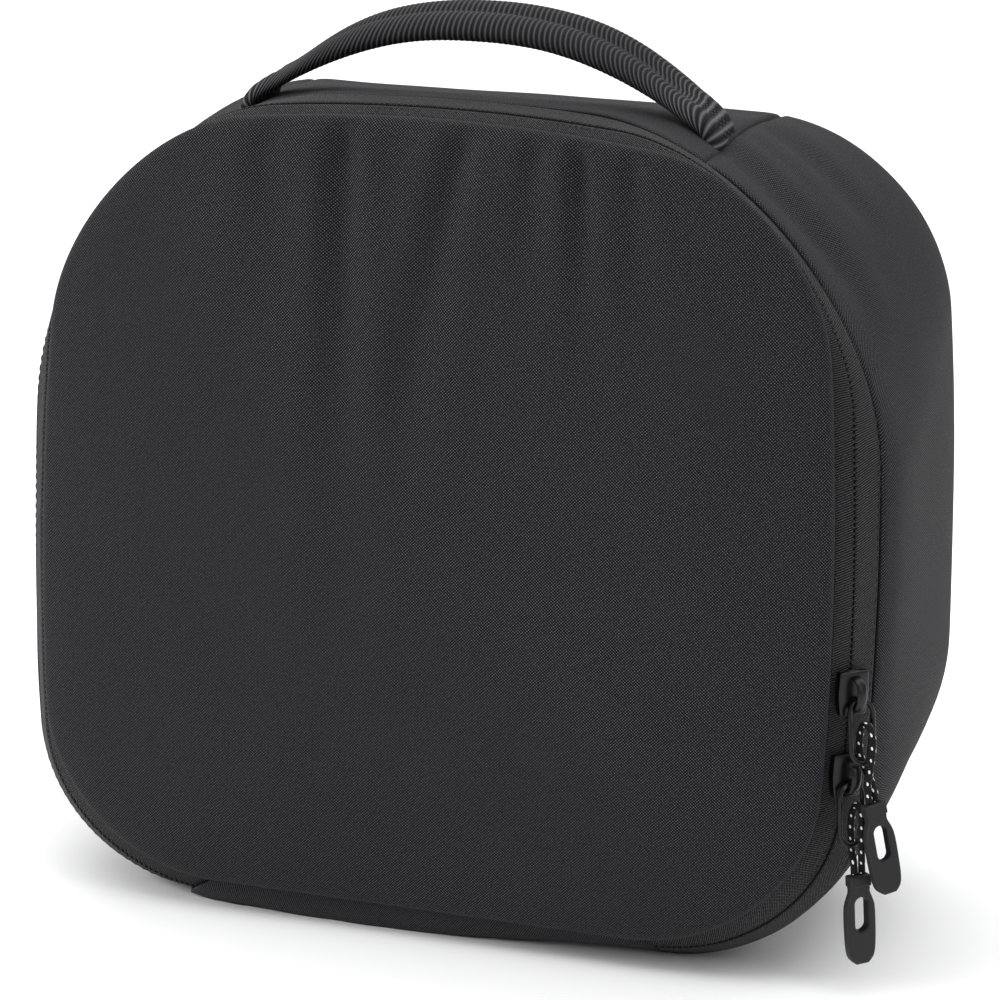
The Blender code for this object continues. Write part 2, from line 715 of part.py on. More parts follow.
def build():
    clear_scene()
    parts = bpy.data.collections.new("goggle_case")
    helpers = bpy.data.collections.new("helpers")
    bpy.context.scene.collection.children.link(parts)
    bpy.context.scene.collection.children.link(helpers)

    cloth = material("black_cloth", (0.018, 0.018, 0.02), 0.8)
    tape = material("zip_tape", (0.02, 0.02, 0.022), 0.7)
    webbing = material("webbing", (0.022, 0.021, 0.024), 0.65)
    metal = material("painted_metal", (0.02, 0.02, 0.021), 0.35, 0.6)
    cord = material("cord", (0.02, 0.02, 0.02), 0.7)
    rubber = material("moulded_rubber", (0.025, 0.025, 0.027), 0.55)

    zipped = (HINGE_END, AROUND - HINGE_END)
    hinge = (-HINGE_END, HINGE_END)
    below = (-HANDLE_SEAM, HANDLE_SEAM)
    above = (HANDLE_SEAM, AROUND - HANDLE_SEAM)
    lid_walls = [LID_THICK * row["wall"] for row in LID_ROWS] + [LID_EDGE_THICK]
    skin_piece("front_panel", cloth, parts, 0, SEAM, lid_walls)
    skin_piece("zip_tape_front", tape, parts, SEAM, CHAIN, TAPE_THICK, zipped)
    skin_piece("zip_tape_rear", tape, parts, CHAIN, TAPE_EDGE, TAPE_THICK, zipped)
    skin_piece("hinge_band", cloth, parts, SEAM, TAPE_EDGE, HINGE_THICK, hinge)
    skin_piece("side_wall", cloth, parts, TAPE_EDGE, BACK_SEAM, WALL_THICK, below)
    skin_piece("top_panel", cloth, parts, TAPE_EDGE, BACK_SEAM, WALL_THICK, above)
    skin_piece("back_panel", cloth, parts, BACK_SEAM, len(RINGS) - 1, WALL_THICK)
    make_handle(webbing, parts)

    make_slider("slider_upper", SLIDER_UPPER_HEIGHT, metal, parts, helpers)
    make_slider("slider_lower", SLIDER_LOWER_HEIGHT, metal, parts, helpers)
    make_ring("pull_ring_upper", SLIDER_UPPER_HEIGHT, RING_SHIFT, RING_SWING, metal, parts)
    make_ring("pull_ring_lower", SLIDER_LOWER_HEIGHT, 0.0, RING_SWING * 0.6, metal, parts)
    make_cord("pull_cord_upper", CORD_UPPER_ROUTE, TAG_LEAN_UPPER, cord, parts)
    make_cord("pull_cord_lower", CORD_LOWER_ROUTE, TAG_LEAN_LOWER, cord, parts)
    make_tag("pull_tag_upper", CORD_UPPER_ROUTE, TAG_LEAN_UPPER, rubber, parts)
    make_tag("pull_tag_lower", CORD_LOWER_ROUTE, TAG_LEAN_LOWER, rubber, parts)


build()
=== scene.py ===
# %% [markdown]
# # A zipped goggle case
# The object is a soft box for ski goggles: a padded lid with a zip round three sides,
# a cloth hinge along the bottom, a webbing handle and two cord pulls with moulded tags.
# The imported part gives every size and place. This lesson dresses it: each cloth panel
# is laid again as a finer skin over the same sections, and gets seams, stitches and weave.

import math

import bmesh
import bpy
from mathutils import Matrix, Vector, noise


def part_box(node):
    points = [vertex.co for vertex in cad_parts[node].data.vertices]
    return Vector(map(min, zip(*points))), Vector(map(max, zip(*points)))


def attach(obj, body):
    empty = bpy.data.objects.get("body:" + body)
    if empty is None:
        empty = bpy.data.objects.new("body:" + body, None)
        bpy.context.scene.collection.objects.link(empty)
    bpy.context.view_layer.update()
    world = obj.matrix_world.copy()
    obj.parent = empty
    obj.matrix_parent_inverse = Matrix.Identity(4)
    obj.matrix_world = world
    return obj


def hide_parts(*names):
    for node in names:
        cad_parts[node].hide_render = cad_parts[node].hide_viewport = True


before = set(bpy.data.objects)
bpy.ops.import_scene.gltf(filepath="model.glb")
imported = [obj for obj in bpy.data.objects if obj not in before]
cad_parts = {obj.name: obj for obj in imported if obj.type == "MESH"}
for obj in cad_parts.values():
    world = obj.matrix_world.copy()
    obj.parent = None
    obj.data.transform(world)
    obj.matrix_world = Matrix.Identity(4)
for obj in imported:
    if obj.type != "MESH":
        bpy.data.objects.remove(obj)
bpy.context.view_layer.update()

# %% [markdown]
# ## The camera
# A product photograph is taken from far away with a long lens, so that the case's edges
# stay nearly parallel. The view comes from a little to the right of the lid and above it.
# The camera's axes are worked out from those two turns and a small roll.

# %% Camera
CAMERA_PLACE = Vector((0.34001, -1.07075, 0.42198))
LENS_MM = 136.8
SENSOR_MM = 36
VIEW_YAW = math.radians(17.5)
VIEW_PITCH = math.radians(15.0)
VIEW_ROLL = math.radians(1.5)


def make_camera():
    """The camera, turned by its three axes."""
    back = Vector((
        math.sin(VIEW_YAW) * math.cos(VIEW_PITCH),
        -math.cos(VIEW_YAW) * math.cos(VIEW_PITCH),
        math.sin(VIEW_PITCH),
    ))
    level = Vector((0, 0, 1)).cross(back).normalized()
    rise = back.cross(level)
    right = level * math.cos(VIEW_ROLL) + rise * math.sin(VIEW_ROLL)
    up = rise * math.cos(VIEW_ROLL) - level * math.sin(VIEW_ROLL)
    data = bpy.data.cameras.new("photo_camera")
    data.lens = LENS_MM
    data.sensor_width = SENSOR_MM
    camera = bpy.data.objects.new("photo_camera", data)
    turn = Matrix((right, up, back)).transposed().to_4x4()
    camera.matrix_world = Matrix.Translation(CAMERA_PLACE) @ turn
    bpy.context.scene.collection.objects.link(camera)
    bpy.context.scene.camera = camera
    return camera


camera = make_camera()
print("camera", [round(v, 3) for v in camera.location])

# %% [markdown]
# ## The case's skin as sections
# A sewn case has no flat sides: the lid crowns, the walls swell behind the zip and draw in
# again at the back. One table of sections describes it all. Each row is a rounded outline
# at one depth, and a smooth line through the same place of every row gives the surface.

# %% Sizes of the case
SEAM_WIDTH = 0.2248
SEAM_HEIGHT = 0.2208
DEPTH = 0.118
SEAM_LIFT = 0.012
CORNER_TOP = 0.048
CORNER_BOTTOM = 0.0514
TOP_CROWN = 0.0131
SIDE_BOW = 0.0069
FLARE = 0.005
SIDE_SWELL = 0.0172
TOP_RISE = 0.0085
LID_DOME = 0.014
BACK_DOME = 0.005
HINGE_SAG = 0.0046
HANDLE_SPAN = 0.149
FRONT = -DEPTH / 2
HALF_WIDTH = SEAM_WIDTH / 2
SAG_MIDDLE = -0.14
SAG_REACH = 0.74

# A lid row: how far it is drawn in, as a share of the half width, and how far it stands
# in front of the seam, as a share of the dome.
LID_ROWS = [
    (0.92, 1.00), (0.72, 0.985), (0.52, 0.945), (0.36, 0.88), (0.23, 0.79),
    (0.135, 0.69), (0.07, 0.60), (0.028, 0.52), (-0.006, 0.42), (-0.018, 0.27), (-0.012, 0.12),
]
# A wall row: its place between front and back, then shares of the sizes above.
WALL_COLUMNS = (
    "back", "side", "low", "high", "crown", "flare",
    "top_r", "bottom_r", "top_r_left", "bottom_r_left", "sag",
)
WALL_ROWS = [
    (0.0, 0.0, 0.0, 0.0, 1.0, 1.0, 1.0, 1.0, 1.16, 0.98, 0.0),
    (0.034, 0.36, 0.54, 0.47, 1.0, 1.0, 1.38, 0.96, 1.40, 0.88, 1.0),
    (0.102, 0.71, 0.92, 0.76, 0.95, 0.6, 1.76, 1.02, 1.84, 0.90, 0.2),
    (0.186, 0.92, 1.0, 0.88, 0.80, 0.4, 1.88, 1.14, 1.98, 1.02, 0.0),
    (0.34, 1.0, 1.0, 0.94, 0.57, 0.7, 1.74, 1.28, 1.80, 1.20, 0.0),
    (0.55, 1.0, 1.0, 1.0, 0.23, 1.3, 1.48, 1.46, 1.50, 1.42, 0.0),
    (0.746, 0.97, 1.0, 1.0, -0.04, 2.0, 1.24, 1.58, 1.24, 1.58, 0.0),
    (0.864, 0.88, 1.0, 0.94, -0.11, 2.3, 1.16, 1.62, 1.16, 1.62, 0.0),
    (0.949, 0.58, 0.75, 0.53, -0.11, 2.2, 1.10, 1.60, 1.10, 1.60, 0.0),
    (1.0, 0.12, 0.25, -0.35, -0.11, 2.0, 1.08, 1.56, 1.08, 1.56, 0.0),
]
# A back row is like a lid row, but goes the other way.
BACK_ROWS = [(0.05, 0.35), (0.16, 0.62), (0.40, 0.86), (0.70, 0.97), (0.92, 1.0)]
WALLS = [dict(zip(WALL_COLUMNS, row)) for row in WALL_ROWS]
print(len(LID_ROWS) + len(WALLS) + len(BACK_ROWS), "sections")

# %% [markdown]
# Every outline has the same number of steps in its bottom, corners, sides and top, so
# that point 40 of one section lies behind point 40 of the next. The two places where
# panels are sewn together across the outline, at the hinge's ends and at the handle's
# ends, fall on fixed points too.

# %% Outlines
BOTTOM_STEPS = 20
CORNER_STEPS = 32
SIDE_STEPS = 24
TOP_STEPS = 44
HINGE_END = BOTTOM_STEPS
HANDLE_SEAM = BOTTOM_STEPS + 2 * CORNER_STEPS + SIDE_STEPS
AROUND = 2 * (HANDLE_SEAM + TOP_STEPS)


def clamp(share):
    return min(1.0, max(0.0, share))


def half_outline(width, low, high, top_r, bottom_r, crown, bow, flare, split):
    """Half of a rounded outline from the middle of the bottom, across and up."""
    tall = high - low
    flat = width - bottom_r
    top_flat = width - top_r
    split = split / (1 - flare / 2 / width)
    top_turn = math.acos(clamp((split - top_flat) / top_r))
    points = [(flat * i / BOTTOM_STEPS, 0.0) for i in range(BOTTOM_STEPS)]
    for i in range(CORNER_STEPS):
        turn = math.pi / 2 * i / CORNER_STEPS
        points.append((flat + bottom_r * math.sin(turn), bottom_r * (1 - math.cos(turn))))
    for i in range(SIDE_STEPS):
        points.append((width, bottom_r + (tall - top_r - bottom_r) * i / SIDE_STEPS))
    for i in range(CORNER_STEPS):
        turn = top_turn * i / CORNER_STEPS
        points.append((top_flat + top_r * math.cos(turn), tall - top_r * (1 - math.sin(turn))))
    for i in range(TOP_STEPS + 1):
        x = split * (1 - i / TOP_STEPS)
        past = max(0.0, x - top_flat)
        points.append((x, tall - top_r + math.sqrt(top_r * top_r - past * past)))
    placed = []
    for x, z in points:
        share = x / width
        up = z / tall
        lift = crown * (1 - share * share) * clamp(2 * up - 1)
        swell = bow * 4 * up * (1 - up) * share + flare * (0.5 - up) * share
        placed.append((x + swell, low + z + lift))
    return placed


def hinge_bulge(x, z):
    """How much of the hinge's sag a place near the bottom has."""
    place = (x / HALF_WIDTH - SAG_MIDDLE) / SAG_REACH
    if z > SEAM_HEIGHT / 4 or abs(place) > 1:
        return 0.0
    return math.cos(place * math.pi / 2) * (1 - 4 * z / SEAM_HEIGHT)


def section(row, depth, inset=0.0):
    """The outline of a wall row as a ring of points, drawn in by a share of its width."""
    keep = 1 - max(inset, 0)
    halves = []
    for side in ("", "_left"):
        halves.append(half_outline(
            HALF_WIDTH + SIDE_SWELL * row["side"] - HALF_WIDTH * inset,
            SEAM_LIFT * (1 - row["low"]) + HALF_WIDTH * inset,
            SEAM_LIFT + SEAM_HEIGHT + TOP_RISE * row["high"] - HALF_WIDTH * inset,
            CORNER_TOP * row["top_r" + side] * keep,
            CORNER_BOTTOM * row["bottom_r" + side] * keep,
            TOP_CROWN * row["crown"] * keep,
            SIDE_BOW * keep,
            FLARE * row["flare"] * keep,
            HANDLE_SPAN / 2 * keep,
        ))
    right, left = halves
    sag = HINGE_SAG * row["sag"]
    ring = []
    for x, z in right + [(-x, z) for x, z in reversed(left[1:-1])]:
        ring.append(Vector((x, depth, max(0.0, z - sag * hinge_bulge(x, z)))))
    return ring


SECTIONS = [section(WALLS[0], FRONT - LID_DOME * forward, inset) for inset, forward in LID_ROWS]
SECTIONS += [section(row, FRONT + DEPTH * row["back"]) for row in WALLS]
SECTIONS += [section(WALLS[-1], FRONT + DEPTH + BACK_DOME * dome, inset) for inset, dome in BACK_ROWS]
SEAM = len(LID_ROWS)
CHAIN = SEAM + 1
TAPE_EDGE = SEAM + 2
BACK_SEAM = SEAM + len(WALLS) - 1
CHAIN_Y = FRONT + DEPTH * WALLS[1]["back"]
TAPE_EDGE_Y = FRONT + DEPTH * WALLS[2]["back"]
BACK_SEAM_Y = SECTIONS[BACK_SEAM][0].y
print("points in each section:", AROUND)

# %% [markdown]
# ## The pull cords' routes
# Each slider carries a wire ring, and a short loop of cord runs from the tag up through
# the ring and back. The routes are given across the zip, out from it, and by height, and
# then turned to lie along the zip where the sliders stand.

# %% Zip line and cord routes
SLIDER_UPPER_HEIGHT = 0.0915
SLIDER_LOWER_HEIGHT = 0.0667
CORD = 0.0021
TAG_GAP = 0.0003
CORD_ROUTES = {
    "upper": {"lean": 0.23, "points": [
        (0.00455, 0.0102, 0.0614), (0.0042, 0.0096, 0.0642), (0.0038, 0.0076, 0.0674),
        (0.0032, 0.0052, 0.0703), (0.0027, 0.0039, 0.0740), (0.0026, 0.0035, 0.0775),
        (0.0026, 0.0040, 0.0805), (0.0026, 0.0056, 0.0826), (0.0026, 0.0074, 0.0829),
        (0.0026, 0.0092, 0.0815), (0.0026, 0.0101, 0.0788), (0.0026, 0.0102, 0.0755),
        (0.0025, 0.0099, 0.0715), (0.0021, 0.0098, 0.0675), (0.0019, 0.0099, 0.0645),
        (0.00225, 0.0104, 0.0612),
    ]},
    "lower": {"lean": 0.08, "points": [
        (0.00075, 0.0070, 0.0388), (0.0007, 0.0066, 0.0414), (0.0013, 0.0045, 0.0443),
        (0.0017, 0.0032, 0.0475), (0.0018, 0.0026, 0.0515), (0.0018, 0.0029, 0.0550),
        (0.0018, 0.0042, 0.0578), (0.0018, 0.0056, 0.0584), (0.0018, 0.0070, 0.0576),
        (0.0018, 0.0079, 0.0550), (0.0018, 0.0082, 0.0515), (0.0020, 0.0083, 0.0470),
        (0.0023, 0.0080, 0.0443), (0.0028, 0.0075, 0.0415), (0.00305, 0.0074, 0.0390),
    ]},
}


def zip_frame(height):
    """The zip's line at a height on the right: its point, and across and out of it."""
    ring = SECTIONS[CHAIN]
    i = next(k for k in range(BOTTOM_STEPS, AROUND // 2) if ring[k].z <= height <= ring[k + 1].z)
    share = (height - ring[i].z) / (ring[i + 1].z - ring[i].z)
    point = ring[i].lerp(ring[i + 1], share)
    across = (SECTIONS[TAPE_EDGE][i] - SECTIONS[SEAM][i]).lerp(
        SECTIONS[TAPE_EDGE][i + 1] - SECTIONS[SEAM][i + 1], share)
    across.z = 0
    across.normalize()
    return point, across, across.cross(Vector((0, 0, 1)))


def smooth_line(points, steps):
    """A smooth curve through the points, with steps stretches between each two of them."""
    line = []
    for i in range(len(points) - 1):
        before = points[max(i - 1, 0)]
        after = points[min(i + 2, len(points) - 1)]
        start, end = points[i], points[i + 1]
        for k in range(steps):
            t = k / steps
            a = start * 2 + (end - before) * t
            b = (before * 2 - start * 5 + end * 4 - after) * t ** 2
            c = (start * 3 - before - end * 3 + after) * t ** 3
            line.append((a + b + c) / 2)
    line.append(points[-1].copy())
    return line


def cord_line(route, steps=2):
    """The cord's line, and the top, side and down of the tag that its two ends meet."""
    point, across, out = zip_frame(SLIDER_LOWER_HEIGHT)
    base = Vector((point.x, point.y, 0))
    points = [base + across * a + out * o + Vector((0, 0, z)) for a, o, z in route["points"]]
    down = Vector((route["lean"], 0, -1)).normalized()
    side = (across - down * across.dot(down)).normalized()
    reach = max(points[0].dot(down), points[-1].dot(down)) + CORD / 4
    start = points[0] + down * (reach - points[0].dot(down))
    end = points[-1] + down * (reach - points[-1].dot(down))
    line = [start] + smooth_line(points, steps) + [end]
    return line, (start + end) / 2 + down * TAG_GAP, side, down


def length_of(line):
    """The length of a line of points."""
    return sum((b - a).length for a, b in zip(line, line[1:]))


for name, route in CORD_ROUTES.items():
    print(name, "cord,", round(1000 * length_of(cord_line(route)[0]), 1), "mm")

# %% [markdown]
# ## Laying cloth over the sections
# A panel starts as a flat grid, the way it is cut. Each of its points is then carried to
# its place between the sections, and the distance that it travels along the cloth is kept
# as its UV, in metres. So the weave runs with the panel, round every corner.

# %% A helper that lays a panel
CASE_MIDDLE = Vector((0, 0, 0.12))
MIDDLE_HOLE = 0.04
WELD = 0.000001


def finish_mesh(cloth, name):
    """The bmesh as an object that rides on the case."""
    data = bpy.data.meshes.new(name)
    cloth.to_mesh(data)
    cloth.free()
    data.shade_smooth()
    piece = bpy.data.objects.new(name, data)
    bpy.context.scene.collection.objects.link(piece)
    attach(piece, "root")
    return piece


def spread_out(columns, i, j):
    """Where a point of the lid or the back lies on the flat cloth, seen from the front."""
    column = columns[i]
    ahead = columns[(i + 1) % (len(columns) - 1)][j]
    behind = columns[i - 1 if i else -2][j]
    outward_way = Vector((ahead.z - behind.z, behind.x - ahead.x)).normalized()
    start = Vector((column[0].x, column[0].z))
    place = Vector((column[j].x, column[j].z))
    if outward_way.dot(place - start) < 0:
        outward_way = -outward_way
    return place + outward_way * (length_of(column[:j + 1]) - (place - start).length)


def close_middle(cloth, cut):
    """Fills the small hole in the middle of a panel that is laid from rings."""
    rims = [e for e in cloth.edges if e.is_boundary and all(
        abs(v.co.x) < HALF_WIDTH / 4 and abs(v.co.z - CASE_MIDDLE.z) < MIDDLE_HOLE for v in e.verts)]
    made = bmesh.ops.holes_fill(cloth, edges=rims, sides=0)["faces"]
    made = bmesh.ops.poke(cloth, faces=made)["faces"]
    for face in made:
        for corner in face.loops:
            corner[cut].uv = (corner.vert.co.x, corner.vert.co.z)


def lay_panel(first, last, steps, start=0, stop=AROUND, front=False):
    """A bmesh from section first to section last, between two places round the outline."""
    columns = []
    for i in range(start, stop + 1):
        columns.append(smooth_line([ring[i % AROUND] for ring in SECTIONS[first:last + 1]], steps))
    wide = len(columns) - 1
    deep = len(columns[0]) - 1
    cloth = bmesh.new()
    bmesh.ops.create_grid(cloth, x_segments=wide, y_segments=deep, size=1)
    cut = cloth.loops.layers.uv.new("cloth")
    along = [[0.0] * (deep + 1)]
    for a, b in zip(columns, columns[1:]):
        along.append([u + (q - p).length for u, p, q in zip(along[-1], a, b)])
    spots = {}
    for v in cloth.verts:
        i = round((v.co.x + 1) / 2 * wide)
        j = round((v.co.y + 1) / 2 * deep)
        v.co = columns[i][j]
        if front:
            spots[v] = spread_out(columns, i, j)
        else:
            spots[v] = (along[i][deep // 2], length_of(columns[i][:j + 1]))
    for face in cloth.faces:
        for corner in face.loops:
            corner[cut].uv = spots[corner.vert]
    if stop - start == AROUND:
        bmesh.ops.remove_doubles(cloth, verts=cloth.verts, dist=WELD)
    if front:
        close_middle(cloth, cut)
    bmesh.ops.recalc_face_normals(cloth, faces=cloth.faces)
    cloth.normal_update()
    cloth.faces.ensure_lookup_table()
    sample = cloth.faces[len(cloth.faces) // 2]
    if sample.normal.dot(sample.calc_center_median() - CASE_MIDDLE) < 0:
        bmesh.ops.reverse_faces(cloth, faces=cloth.faces)
    return cloth


def press(cloth, depth_at):
    """Moves each point along its normal as depth_at says, but not below the floor."""
    cloth.normal_update()
    moves = [(v, v.normal * depth_at(v.co)) for v in cloth.verts]
    for v, move in moves:
        v.co += move
        v.co.z = max(0.0, v.co.z)


def make_piece(skin, name, node, thickness):
    """A skin as a piece with a thickness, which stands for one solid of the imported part."""
    piece = finish_mesh(skin, name)
    wall = piece.modifiers.new("thickness", "SOLIDIFY")
    wall.thickness = thickness
    wall.offset = -1
    wall.use_rim = True
    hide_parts(node)
    return piece


def uneven(place, lumps):
    """Soft noise over the cloth: each pair is how fine its lumps are and how high."""
    return sum(noise.noise(place * fine) * high for fine, high in lumps)


def tuck(distance, reach=0.0022, depth=0.0011):
    """How far cloth is drawn in beside a seam that is this far away."""
    share = max(0.0, 1 - distance / reach)
    return depth * share * share


print("panel tools ready")

# %% [markdown]
# ## The lid
# The lid is foam between two cloths, cut a little too wide at the top, so it is gathered
# into the seam: short valleys start there and fade downwards. A valley is pressed into
# the cloth with a soft shoulder on each side. Slow noise gives the lazy hand of foam.

# %% The lid's gathers and its skin
LID_LUMPS = ((14, 0.0008), (45, 0.00022))
LID_CLOTH = 0.002
EDGE_START = 0.40
EDGE_SPAN = 0.16
GATHER_DEPTH = 0.0034
GATHER_FADE = 1.1
SHOULDER = 0.3
SHOULDER_PLACE = 1.9
GATHERS = [
    {"across": -0.44, "length": 0.30, "width": 0.026, "depth": 0.5, "lean": 0.04},
    {"across": -0.235, "length": 0.80, "width": 0.024, "depth": 0.95, "lean": 0.03},
    {"across": 0.085, "length": 0.66, "width": 0.025, "depth": 0.85, "lean": -0.17},
    {"across": 0.27, "length": 0.24, "width": 0.018, "depth": 0.6, "lean": 0.02},
    {"across": 0.385, "length": 0.34, "width": 0.015, "depth": 0.8, "lean": 0.10},
    {"across": 0.52, "length": 0.22, "width": 0.016, "depth": 0.6, "lean": 0.16},
]


def gather_depth(place):
    """How deep the gathers are at a place: each valley widens and fades downwards."""
    top = SEAM_LIFT + SEAM_HEIGHT + TOP_CROWN * (1 - (place.x / HALF_WIDTH) ** 2)
    down = max(0.0, top - place.z)
    total = 0.0
    for row in GATHERS:
        length = SEAM_HEIGHT * row["length"]
        middle = HALF_WIDTH * row["across"] + row["lean"] * down
        width = SEAM_HEIGHT * row["width"] * (0.75 + down / length)
        off = (place.x - middle) / width
        fade = max(0.0, 1 - down / length) ** GATHER_FADE
        valley = math.exp(-off * off) - SHOULDER * math.exp(-((abs(off) - SHOULDER_PLACE) ** 2))
        total += row["depth"] * fade * valley
    return GATHER_DEPTH * total


def lid_relief(place):
    """The lid's noise and gathers, which die away in its rolled edge, and its seam."""
    edge = clamp(((FRONT - place.y) / LID_DOME - EDGE_START) / EDGE_SPAN)
    soft = uneven(place, LID_LUMPS)
    return (soft - gather_depth(place)) * edge - tuck(FRONT - place.y, reach=0.0030, depth=0.0020)


lid_skin = lay_panel(0, SEAM, 6, front=True)
press(lid_skin, lid_relief)
lid = make_piece(lid_skin, "lid", "front_panel", LID_CLOTH)
print("lid faces:", len(lid.data.polygons))

# %% [markdown]
# ## Walls, top and back
# The wall is one long padded strip from cross seam to cross seam, under the case. The
# top panel closes it between the handle's two ends. Each panel's edge is turned in at its
# seam, which a small inward press near the edge makes. At the back seam both panels are
# drawn towards the case's middle by the same amount, so that their edges still meet.

# %% Wall, top panel and back
WALL_CLOTH = 0.0035
WALL_LUMPS = ((12, 0.0011), (38, 0.0003))
BACK_LUMPS = ((16, 0.0006),)
WALL_SLOPE = 1.6
BACK_SLOPE = 3.2
CREASE_FLOOR = 0.16
CREASE_START = 0.25
CREASE_FADE = 0.8
CREASE_SHOULDER = 0.35
CREASE_SHOULDER_PLACE = 2.0
LEFT_CREASE = 0.7
CREASES = [
    {"width": 0.0064, "depth": 0.0017, "line": [
        (0.0733, -0.0241, 0.2406), (0.0892, -0.0296, 0.2306), (0.1013, -0.0316, 0.2201),
        (0.1128, -0.0298, 0.2077), (0.1234, -0.0316, 0.1913)]},
    {"width": 0.0058, "depth": 0.0014, "line": [
        (0.0840, 0.0104, 0.2375), (0.0959, 0.0052, 0.2310), (0.1047, 0.0024, 0.2239),
        (0.1165, 0.0028, 0.2114)]},
    {"width": 0.0040, "depth": 0.0003, "line": [
        (0.0733, -0.0060, 0.2425), (0.0880, -0.0110, 0.2345), (0.1010, -0.0140, 0.2240)]},
]
for crease in CREASES:
    crease["line"] = [Vector(p) for p in crease["line"]]


def crease_depth(place):
    """Soft valleys in the wall's upper corners, which run down from the handle's ends."""
    spot = Vector((abs(place.x), place.y, place.z))
    total = 0.0
    if spot.z < CREASE_FLOOR:
        return total
    for crease in CREASES:
        line = crease["line"]
        whole = length_of(line)
        run = 0.0
        nearest = (1.0, 0.0)
        for a, b in zip(line, line[1:]):
            span = b - a
            share = clamp((spot - a).dot(span) / span.length_squared)
            gap = (spot - a - span * share).length
            nearest = min(nearest, (gap, (run + share * span.length) / whole))
            run += span.length
        gap, along = nearest
        swing = math.sin(math.pi * (CREASE_START + (1 - CREASE_START) * along))
        fade = swing ** CREASE_FADE if along < 1 else 0.0
        off = gap / crease["width"]
        shoulder = CREASE_SHOULDER * math.exp(-((off - CREASE_SHOULDER_PLACE) ** 2))
        valley = math.exp(-off * off) - shoulder
        total += crease["depth"] * fade * valley
    return total * (1.0 if place.x > 0 else LEFT_CREASE)


def back_relief(place):
    """The back's soft noise, which dies away at its seam so that it meets the wall."""
    return uneven(place, BACK_LUMPS) * clamp((place.y - BACK_SEAM_Y) / 0.003)


def draw_in(cloth, slope):
    """Draws the cloth in at the back seam, towards the case's middle, alike on both sides."""
    for v in cloth.verts:
        depth = tuck(abs(v.co.y - BACK_SEAM_Y) * slope, reach=0.0030, depth=0.0016)
        v.co -= (v.co - CASE_MIDDLE).normalized() * depth


def wall_relief(place):
    """The wall's noise, tape seam and creases. It stays flat on the floor and at the back."""
    soft = uneven(place, WALL_LUMPS)
    front_seam = tuck(max(0.0, place.y - TAPE_EDGE_Y))
    free = min(1.0, place.z / 0.01, max(0.0, (BACK_SEAM_Y - place.y) / 0.01))
    return soft * free - front_seam * free - crease_depth(place)


def cross_seam_relief(place):
    """The wall's and the top panel's relief, with the seam at the handle's ends."""
    seam = 0.0
    if place.z > 0.15:
        seam = tuck(abs(abs(place.x) - HANDLE_SPAN / 2))
        seam *= clamp((BACK_SEAM_Y - place.y) / 0.004)
    return wall_relief(place) - seam


wall_skin = lay_panel(TAPE_EDGE, BACK_SEAM, 7, -HANDLE_SEAM, HANDLE_SEAM)
press(wall_skin, cross_seam_relief)
draw_in(wall_skin, WALL_SLOPE)
wall = make_piece(wall_skin, "wall", "side_wall", WALL_CLOTH)

top_skin = lay_panel(TAPE_EDGE, BACK_SEAM, 7, HANDLE_SEAM, AROUND - HANDLE_SEAM)
press(top_skin, cross_seam_relief)
draw_in(top_skin, WALL_SLOPE)
top = make_piece(top_skin, "top", "top_panel", WALL_CLOTH)

back_skin = lay_panel(BACK_SEAM, len(SECTIONS) - 1, 5, front=True)
press(back_skin, back_relief)
draw_in(back_skin, BACK_SLOPE)
back = make_piece(back_skin, "back", "back_panel", WALL_CLOTH)
print("panels:", lid.name, wall.name, top.name, back.name)

# %% [markdown]
# ## The zip
# A coil zip is sewn in with its coil inside, so outside only two woven tapes show, which
# meet in a dark line: a small groove, with painted shade on the rear tape beside it. The
# coil's turns press through the folds beside that line as two rows of small ribs. The tapes
# are narrow panels, and every rib is a flattened ball.

# %% Zip tapes and hinge band
FRONT_SLOPE = 1.8
REAR_SLOPE = 1.25
TAPE_LUMPS = ((60, 0.00015),)
TAPE_CLOTH = 0.001
HINGE_CLOTH = 0.0015
HINGE_BULGE = 0.0034
HINGE_FOLD = 0.0011
HINGE_WRINKLE = 0.0003
HINGE_SLOPE = 1.5
SLACK_LEFT = -0.09
SLACK_RIGHT = 0.045


def front_tape_relief(place):
    """The front tape dips into the lid's seam, and at the line where the tapes meet."""
    seam = tuck((place.y - FRONT) * FRONT_SLOPE, reach=0.0020, depth=0.0018)
    meeting = tuck((CHAIN_Y - place.y) * FRONT_SLOPE, reach=0.0009, depth=0.0007)
    return uneven(place, TAPE_LUMPS) - seam - meeting


def rear_tape_relief(place):
    """The rear tape dips at the meeting line, and into the wall's seam."""
    meeting = tuck((place.y - CHAIN_Y) * REAR_SLOPE, reach=0.0009, depth=0.0007)
    seam = tuck((TAPE_EDGE_Y - place.y) * REAR_SLOPE, reach=0.0020, depth=0.0014)
    return uneven(place, TAPE_LUMPS) - seam - meeting


def hinge_relief(place):
    """The hinge band bulges forwards on the left, where the cloth is slack."""
    share = clamp((place.y - FRONT) / (TAPE_EDGE_Y - FRONT))
    slack = clamp((SLACK_RIGHT - place.x) / 0.06) * min(1.0, (place.x - SLACK_LEFT) / 0.03)
    wrinkle = HINGE_WRINKLE * math.sin(place.x * 260 + 3 * noise.noise(place * 40))
    bulge = math.sin(math.pi * share) * (HINGE_BULGE * slack + wrinkle * slack)
    fold = math.exp(-((share - 0.42 - 0.9 * place.x) / 0.09) ** 2) * HINGE_FOLD * slack
    seam = tuck((place.y - FRONT) * HINGE_SLOPE, reach=0.0018, depth=0.0010)
    return bulge - fold - seam


front_skin = lay_panel(SEAM, CHAIN, 6, HINGE_END, AROUND - HINGE_END)
press(front_skin, front_tape_relief)
tape_front = make_piece(front_skin, "tape_front", "zip_tape_front", TAPE_CLOTH)

